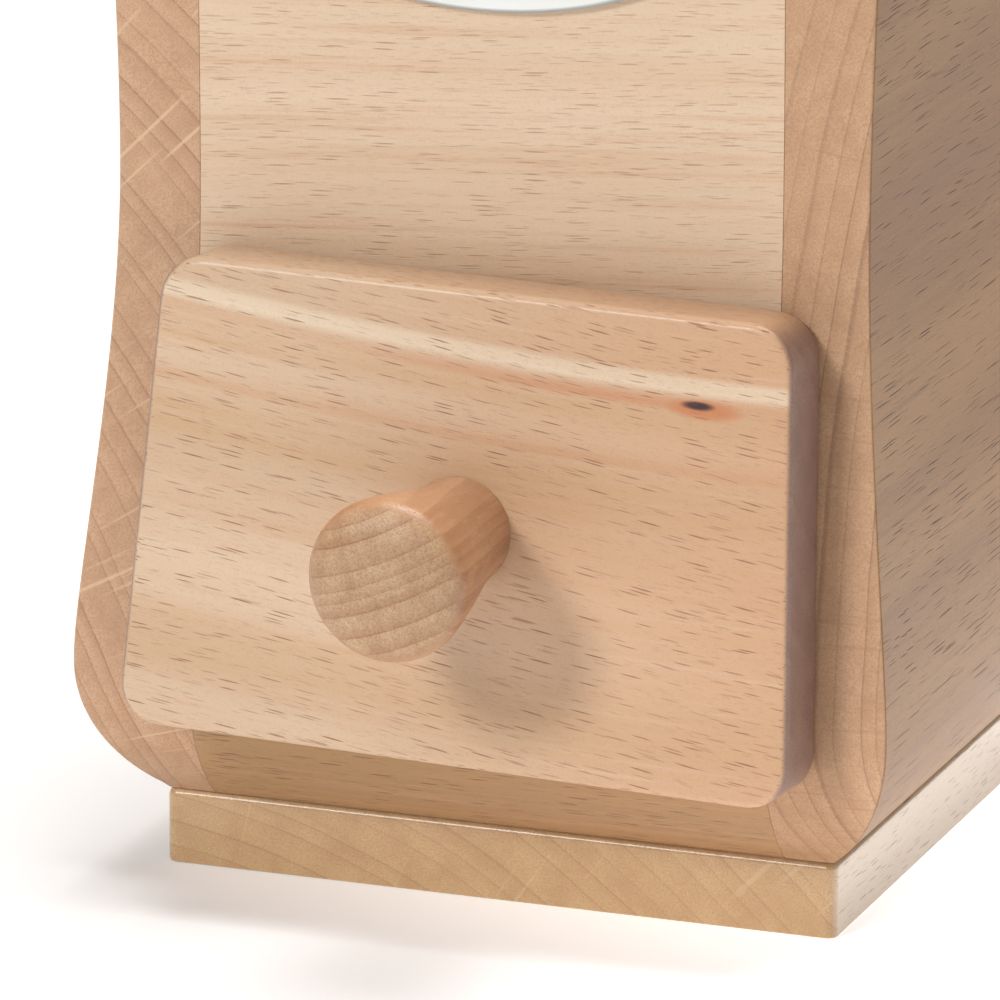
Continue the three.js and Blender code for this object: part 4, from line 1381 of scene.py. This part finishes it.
    def _bush(self) -> None:
        """The turned brass bush in the dome's crown."""
        bore, neck, flange = 4.4 * MM, 7 * MM, 10 * MM
        bottom, seat, top = 212 * MM, 218.6 * MM, 220.5 * MM
        profile = [(bore, bottom), (neck, bottom), (neck, seat), (flange, seat), (flange, top),
                   (bore, top)]
        mesh = lathe(profile, 72, closed=True)
        soften(mesh, 0.35 * MM, 3, 50)
        finish_piece(mesh, "turned_spindle_bush", "housing", Finish.brass.material(),
                     ["spindle_bush"])

    def _bolts(self) -> None:
        """The four slotted bolts in the dome's foot, with round heads."""
        steel = Finish.steel.material()
        shank, head, slot, deep = 1.75 * MM, 3.6 * MM, 0.9 * MM, 1 * MM
        turn_between = 0.7  # radians from one bolt's slot to the next one's
        seat = self.foot
        crown = seat + 2.4 * MM
        for number in range(1, 5):
            low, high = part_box(f"flange_bolt_{number}")
            middle = (low + high) / 2
            profile = [(0, low.z), (shank, low.z), (shank, seat), (head, seat),
                       *curve((head, seat + 0.8 * MM), (head - 0.2 * MM, crown - 0.5 * MM),
                              (head * 0.5, crown), (0, crown), 8)]
            bolt = lathe(profile, 48)
            soften(bolt, 0.12 * MM, 2, 50)
            groove = block(Vector((-slot / 2, -2 * head, crown - deep)),
                           Vector((slot / 2, 2 * head, crown + deep)))
            turned = spin_about("Z", turn_between * number)
            mesh = place(carved(bolt, [groove]), turned, shift(middle.x, middle.y))
            finish_piece(mesh, f"round_head_bolt_{number}", "housing", steel,
                         [f"flange_bolt_{number}"])


# ---------------------------------------------------------------- the crank


@dataclass
class Crank:
    """The bent arm with its washer and crown nut, and the wooden knob on its pin."""

    reach: float = 105 * MM
    hub_z: float = 222 * MM
    end_z: float = 214 * MM
    thickness: float = 3.2 * MM
    hub_radius: float = 10 * MM
    end_radius: float = 7.5 * MM
    bend: tuple[float, float] = (11 * MM, 51 * MM)
    edge: float = 0.6 * MM
    washer: float = 1 * MM
    nut_radius: float = 6.9 * MM
    nut_height: float = 4.6 * MM
    rim_steps: int = 32
    bend_steps: int = 24
    knob_height: float = 42 * MM
    knob_radius: float = 15.5 * MM

    def build(self) -> None:
        """Builds and dresses every piece."""
        self._arm()
        self._nut()
        self._knob_pin()
        self._knob()

    def _height(self, x: float) -> float:
        """The underside of the arm.

        Args:
            x: The distance from the hub's middle.

        Returns:
            The height there.
        """
        start, end = self.bend
        share = min(max((x - start) / (end - start), 0.0), 1.0)
        eased = share * share * (3 - 2 * share)
        return self.hub_z + (self.end_z - self.hub_z) * eased

    def _arm(self) -> None:
        """The flat bar: an outline of two arcs, made thick, bent and rounded."""
        slope = math.asin((self.hub_radius - self.end_radius) / self.reach)
        quarter = math.pi / 2
        mesh = bmesh.new()
        rim = []
        for centre, radius, first, last in (
            (0.0, self.hub_radius, quarter - slope, 3 * quarter + slope),
            (self.reach, self.end_radius, 3 * quarter + slope, 5 * quarter - slope),
        ):
            for step in range(self.rim_steps + 1):
                angle = first + (last - first) * step / self.rim_steps
                rim.append(mesh.verts.new((centre + radius * math.cos(angle),
                                           radius * math.sin(angle), 0.0)))
        mesh.faces.new(rim)
        thicken(mesh, self.thickness * UP)
        start, end = self.bend
        cuts = range(self.bend_steps + 1)
        slice_along(mesh, Vector((1, 0, 0)),
                    [start + (end - start) * cut / self.bend_steps for cut in cuts])
        for vert in mesh.verts:
            vert.co.z += self._height(vert.co.x)
        soften(mesh, self.edge, 3, 50)
        finish_piece(mesh, "crank_bar", "crank", Finish.bar.material(), ["crank_arm"])

    def _nut(self) -> None:
        """The washer under the arm and the crown nut over it."""
        brass, chrome = Finish.brass.material(), Finish.chrome.material()
        bottom, outer, bore = self.hub_z - self.washer, 7.5 * MM, 4.3 * MM
        washer = lathe([(bore, bottom), (outer, bottom), (outer, self.hub_z),
                        (bore, self.hub_z)], 64, closed=True)
        soften(washer, 0.2 * MM, 2, 50)
        finish_piece(washer, "turned_crank_washer", "crank", brass, ["crank_washer"])
        seat = self.hub_z + self.thickness
        hexagon = bmesh.new()
        bmesh.ops.create_cone(hexagon, cap_ends=True, segments=6, radius1=self.nut_radius,
                              radius2=self.nut_radius, depth=self.nut_height)
        soften(hexagon, 0.35 * MM, 3, 50)
        place(hexagon, shift(z=seat + self.nut_height / 2))
        cap = lathe([(0, seat + 4 * MM), (5.3 * MM, seat + 4 * MM),
                     *curve((5.3 * MM, seat + 4.6 * MM), (5.3 * MM, seat + 7.6 * MM),
                            (3.4 * MM, seat + 9.5 * MM), (0, seat + 9.5 * MM), 14)], 64)
        finish_piece(hexagon, "crown_nut_hexagon", "crank", chrome, ["crown_nut"])
        finish_piece(cap, "crown_nut_cap", "crank", chrome, ["crown_nut"])

    def _knob_pin(self) -> None:
        """The rivet that the knob turns on, with a domed head at each end."""
        foot, head, shank = 4.6 * MM, 5 * MM, 2.7 * MM
        top = self.end_z + self.thickness + self.knob_height + 1.9 * MM
        profile = [
            *curve((0, self.end_z - 2.2 * MM), (2.4 * MM, self.end_z - 2.2 * MM),
                   (foot, self.end_z - 1.8 * MM), (foot, self.end_z), 8),
            (shank, self.end_z), (shank, top - 1.4 * MM),
            *curve((head, top - 1.4 * MM), (head, top - 0.6 * MM), (head * 0.6, top), (0, top), 8),
        ]
        mesh = place(lathe(profile, 56), shift(x=self.reach))
        soften(mesh, 0.12 * MM, 2, 60)
        finish_piece(mesh, "knob_rivet", "crank", Finish.steel.material(), ["knob_pin"])

    def _knob(self) -> None:
        """The turned wooden knob."""
        play = 0.3 * MM
        base = self.end_z + self.thickness + play
        top = base + self.knob_height - play
        bore, radius = 3.1 * MM, self.knob_radius

        def at(share: float) -> float:
            """A height as a share of the knob's."""
            return base + self.knob_height * share

        profile = [
            (bore, base), (8.4 * MM, base),
            *curve((9 * MM, base + 0.6 * MM), (8.3 * MM, at(0.1)), (8.5 * MM, at(0.2)),
                   (9.6 * MM, at(0.3)), 10),
            *curve((9.6 * MM, at(0.3)), (13 * MM, at(0.46)), (radius, at(0.52)),
                   (radius, at(0.68)), 14)[1:],
            *curve((radius, at(0.68)), (radius, at(0.86)), (11 * MM, top), (6.5 * MM, top),
                   14)[1:],
            (bore, top),
        ]
        mesh = place(lathe(profile, 96, closed=True), shift(x=self.reach))
        soften(mesh, 0.3 * MM, 2, 50)
        wood = Beech("crank_knob_beech", Grain.Z, pith=(86.0, -8.0), ring=2.4,
                     pale=tone(214, 178, 140), deep=tone(194, 154, 114))
        finish_piece(mesh, "turned_crank_knob", "crank_grip", wood.material(),
                     ["crank_knob"])


# ---------------------------------------------------------------- the mechanism


@dataclass
class Mechanism:
    """The coil spring, and the finish of the burrs, the plate, the stirrup and the screws."""

    spring_bottom: float = 190.2 * MM
    spring_top: float = 211.6 * MM
    coil: float = 6.2 * MM
    wire: float = 0.8 * MM
    turns: int = 6
    steps: int = 32
    lift_keep: float = 0.953

    def build(self) -> None:
        """Builds the spring and dresses the nodes that stay."""
        steel = Finish.steel.material()
        self._spring(steel)
        dress(steel, "support_plate", "lower_stirrup", "adjusting_screw", "thrust_ball",
              "spindle", "burr_pin", "spring_collar", "knob_screw")
        for prefix, count in (("plinth_screw", 4), ("bolt_nut", 4), ("burr_screw", 3),
                              ("stirrup_screw", 2)):
            dress(steel, *(f"{prefix}_{number}" for number in range(1, count + 1)))
        dress(Finish.iron.material(), "outer_burr", "inner_burr")
        dress(Finish.brass.material(), "adjusting_wheel")
        dress(Beech("runner_beech", Grain.Y, pith=(60.0, -20.0)).material(),
              "runner_left", "runner_right")

    def _spring(self, steel: bpy.types.Material) -> None:
        """The coil spring, wound turn by turn, with close turns at both ends."""
        mesh = bmesh.new()
        bmesh.ops.create_circle(mesh, cap_ends=True, radius=self.wire, segments=12)
        start = self.spring_bottom + self.wire
        place(mesh, spin_about("X", math.pi / 2), shift(self.coil, 0, start))
        close = 2.1 * self.wire
        room = self.spring_top - self.spring_bottom - 2 * self.wire - 2 * close
        open_pitch = room / (self.turns - 2)
        section = mesh.faces[:]
        for turn in range(self.turns):
            rise = close if turn in (0, self.turns - 1) else open_pitch
            climb = (0, 0, rise / self.steps)
            swept = bmesh.ops.spin(mesh, geom=section, cent=(0, 0, 0), axis=UP, angle=TURN,
                                   steps=self.steps, dvec=climb, use_merge=False)
            section = [i for i in swept["geom_last"] if isinstance(i, bmesh.types.BMFace)]
        bmesh.ops.remove_doubles(mesh, verts=mesh.verts, dist=WELD)
        bmesh.ops.recalc_face_normals(mesh, faces=mesh.faces)
        spring = finish_piece(mesh, "coil_spring", "housing", steel, ["spindle_spring"])
        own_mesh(spring)


# ---------------------------------------------------------------- the studio


@dataclass
class Studio:
    """The camera, the floor and the soft lights."""

    azimuth: float = math.radians(20.138)
    elevation: float = math.radians(15.022)
    roll: float = math.radians(0.3727)
    distance: float = 1199.35 * MM
    target: tuple[float, float, float] = (-17.16 * MM, 0.0, 45.19 * MM)
    lens: float = 297.5
    sensor: float = 36.0
    shift_x: float = -0.0062
    shift_y: float = -0.0085
    floor_half: float = 12.0
    floor_drop: float = 0.1 * MM
    # Painted light: where the floor glows beside the mill, how far the glow reaches and how strong
    # it is.
    glow_middle: tuple[float, float, float] = (130.0, 70.0, 0.0)  # in millimetres, as its reach
    glow_reach: tuple[float, float] = (90.0, 240.0)
    glow_strength: float = 0.92

    def camera(self) -> None:
        """Makes the camera and looks through it."""
        right = Vector((math.cos(self.azimuth), math.sin(self.azimuth), 0.0))
        level_back = Vector((math.sin(self.azimuth), -math.cos(self.azimuth), 0.0))
        back = level_back * math.cos(self.elevation) + UP * math.sin(self.elevation)
        up = back.cross(right)
        level = Matrix((right, up, back)).transposed().to_4x4()
        made = bpy.data.objects.new("camera", bpy.data.cameras.new("camera"))
        made.data.sensor_width = self.sensor
        made.data.lens = self.lens
        made.data.shift_x = self.shift_x
        made.data.shift_y = self.shift_y
        made.data.clip_end = 60.0
        spot = Matrix.Translation(Vector(self.target) + back * self.distance)
        made.matrix_world = spot @ level @ spin_about("Z", self.roll)
        bpy.context.scene.collection.objects.link(made)
        bpy.context.scene.camera = made

    def floor(self) -> None:
        """A wide pale floor, on which the mill rests, aglow beside the mill's right side: painted
        light that lights the plinth side and the lower flank, gives them their sheen and lifts the
        floor's shadow there, with a faint glow over the rest of the floor.
        """
        mesh = bmesh.new()
        bmesh.ops.create_grid(mesh, x_segments=1, y_segments=1, size=self.floor_half)
        place(mesh, shift(z=-self.floor_drop))
        shader = Shader("pale_floor")
        spot = shader.spot()
        dust = shader.noise(spot, (0.004, 0.004, 0.004), 3.0)
        away = shader.vector("DISTANCE", spot, self.glow_middle, out=1)
        near, far = self.glow_reach
        dim, white = (0.15, 0.15, 0.15, 1.0), (1.0, 1.0, 1.0, 1.0)
        # Painted light: the floor's emission glows beside the mill and faintly elsewhere.
        shader.feed(
            Base_Color=(0.86, 0.86, 0.86, 1.0),
            Roughness=0.8 + dust * 0.1,
            Emission_Color=shader.mix(dim, white, away.between(far, near)),
            Emission_Strength=self.glow_strength,
        )
        floor = stand_in(mesh, "studio_floor")
        floor.data.materials.append(shader.material)

    def lights(self) -> None:
        """Soft light from the upper left and front, more from above, and a pale surround."""
        self._panel("key_light", Vector((-0.56, -1.64, 1.1)), size=0.42, power=18.5)
        self._panel("top_light", Vector((0.1, 0.15, 2.0)), size=1.1, power=44.0)
        world = bpy.data.worlds.new("surround")
        world.use_nodes = True
        sky = next(n for n in world.node_tree.nodes if n.type == "BACKGROUND")
        sky.inputs["Color"].default_value = (1.0, 1.0, 1.0, 1.0)
        sky.inputs["Strength"].default_value = 0.14
        bpy.context.scene.world = world
        bpy.context.scene.view_settings.view_transform = "Standard"

    @staticmethod
    def _panel(name: str, spot: Vector, size: float, power: float) -> None:
        """A square panel of light that faces the mill.

        Args:
            name: The light's name.
            spot: Where it stands.
            size: Its width in metres.
            power: Its power in watts.
        """
        light = bpy.data.lights.new(name, "AREA")
        light.size = size
        light.energy = power
        made = bpy.data.objects.new(name, light)
        aim = (Vector((0, 0, 80 * MM)) - spot).to_track_quat("-Z", "Y")
        made.matrix_world = Matrix.Translation(spot) @ aim.to_matrix().to_4x4()
        bpy.context.scene.collection.objects.link(made)


def main() -> None:
    """Builds the studio and then every sub-assembly."""
    logging.basicConfig(level=logging.INFO, format="%(name)s: %(message)s")
    studio = Studio()
    studio.camera()
    studio.floor()
    studio.lights()
    for assembly in (Box(), Badge(), Drawer(), Dome(), Crank(), Mechanism()):
        assembly.build()


if __name__ == "__main__":
    main()
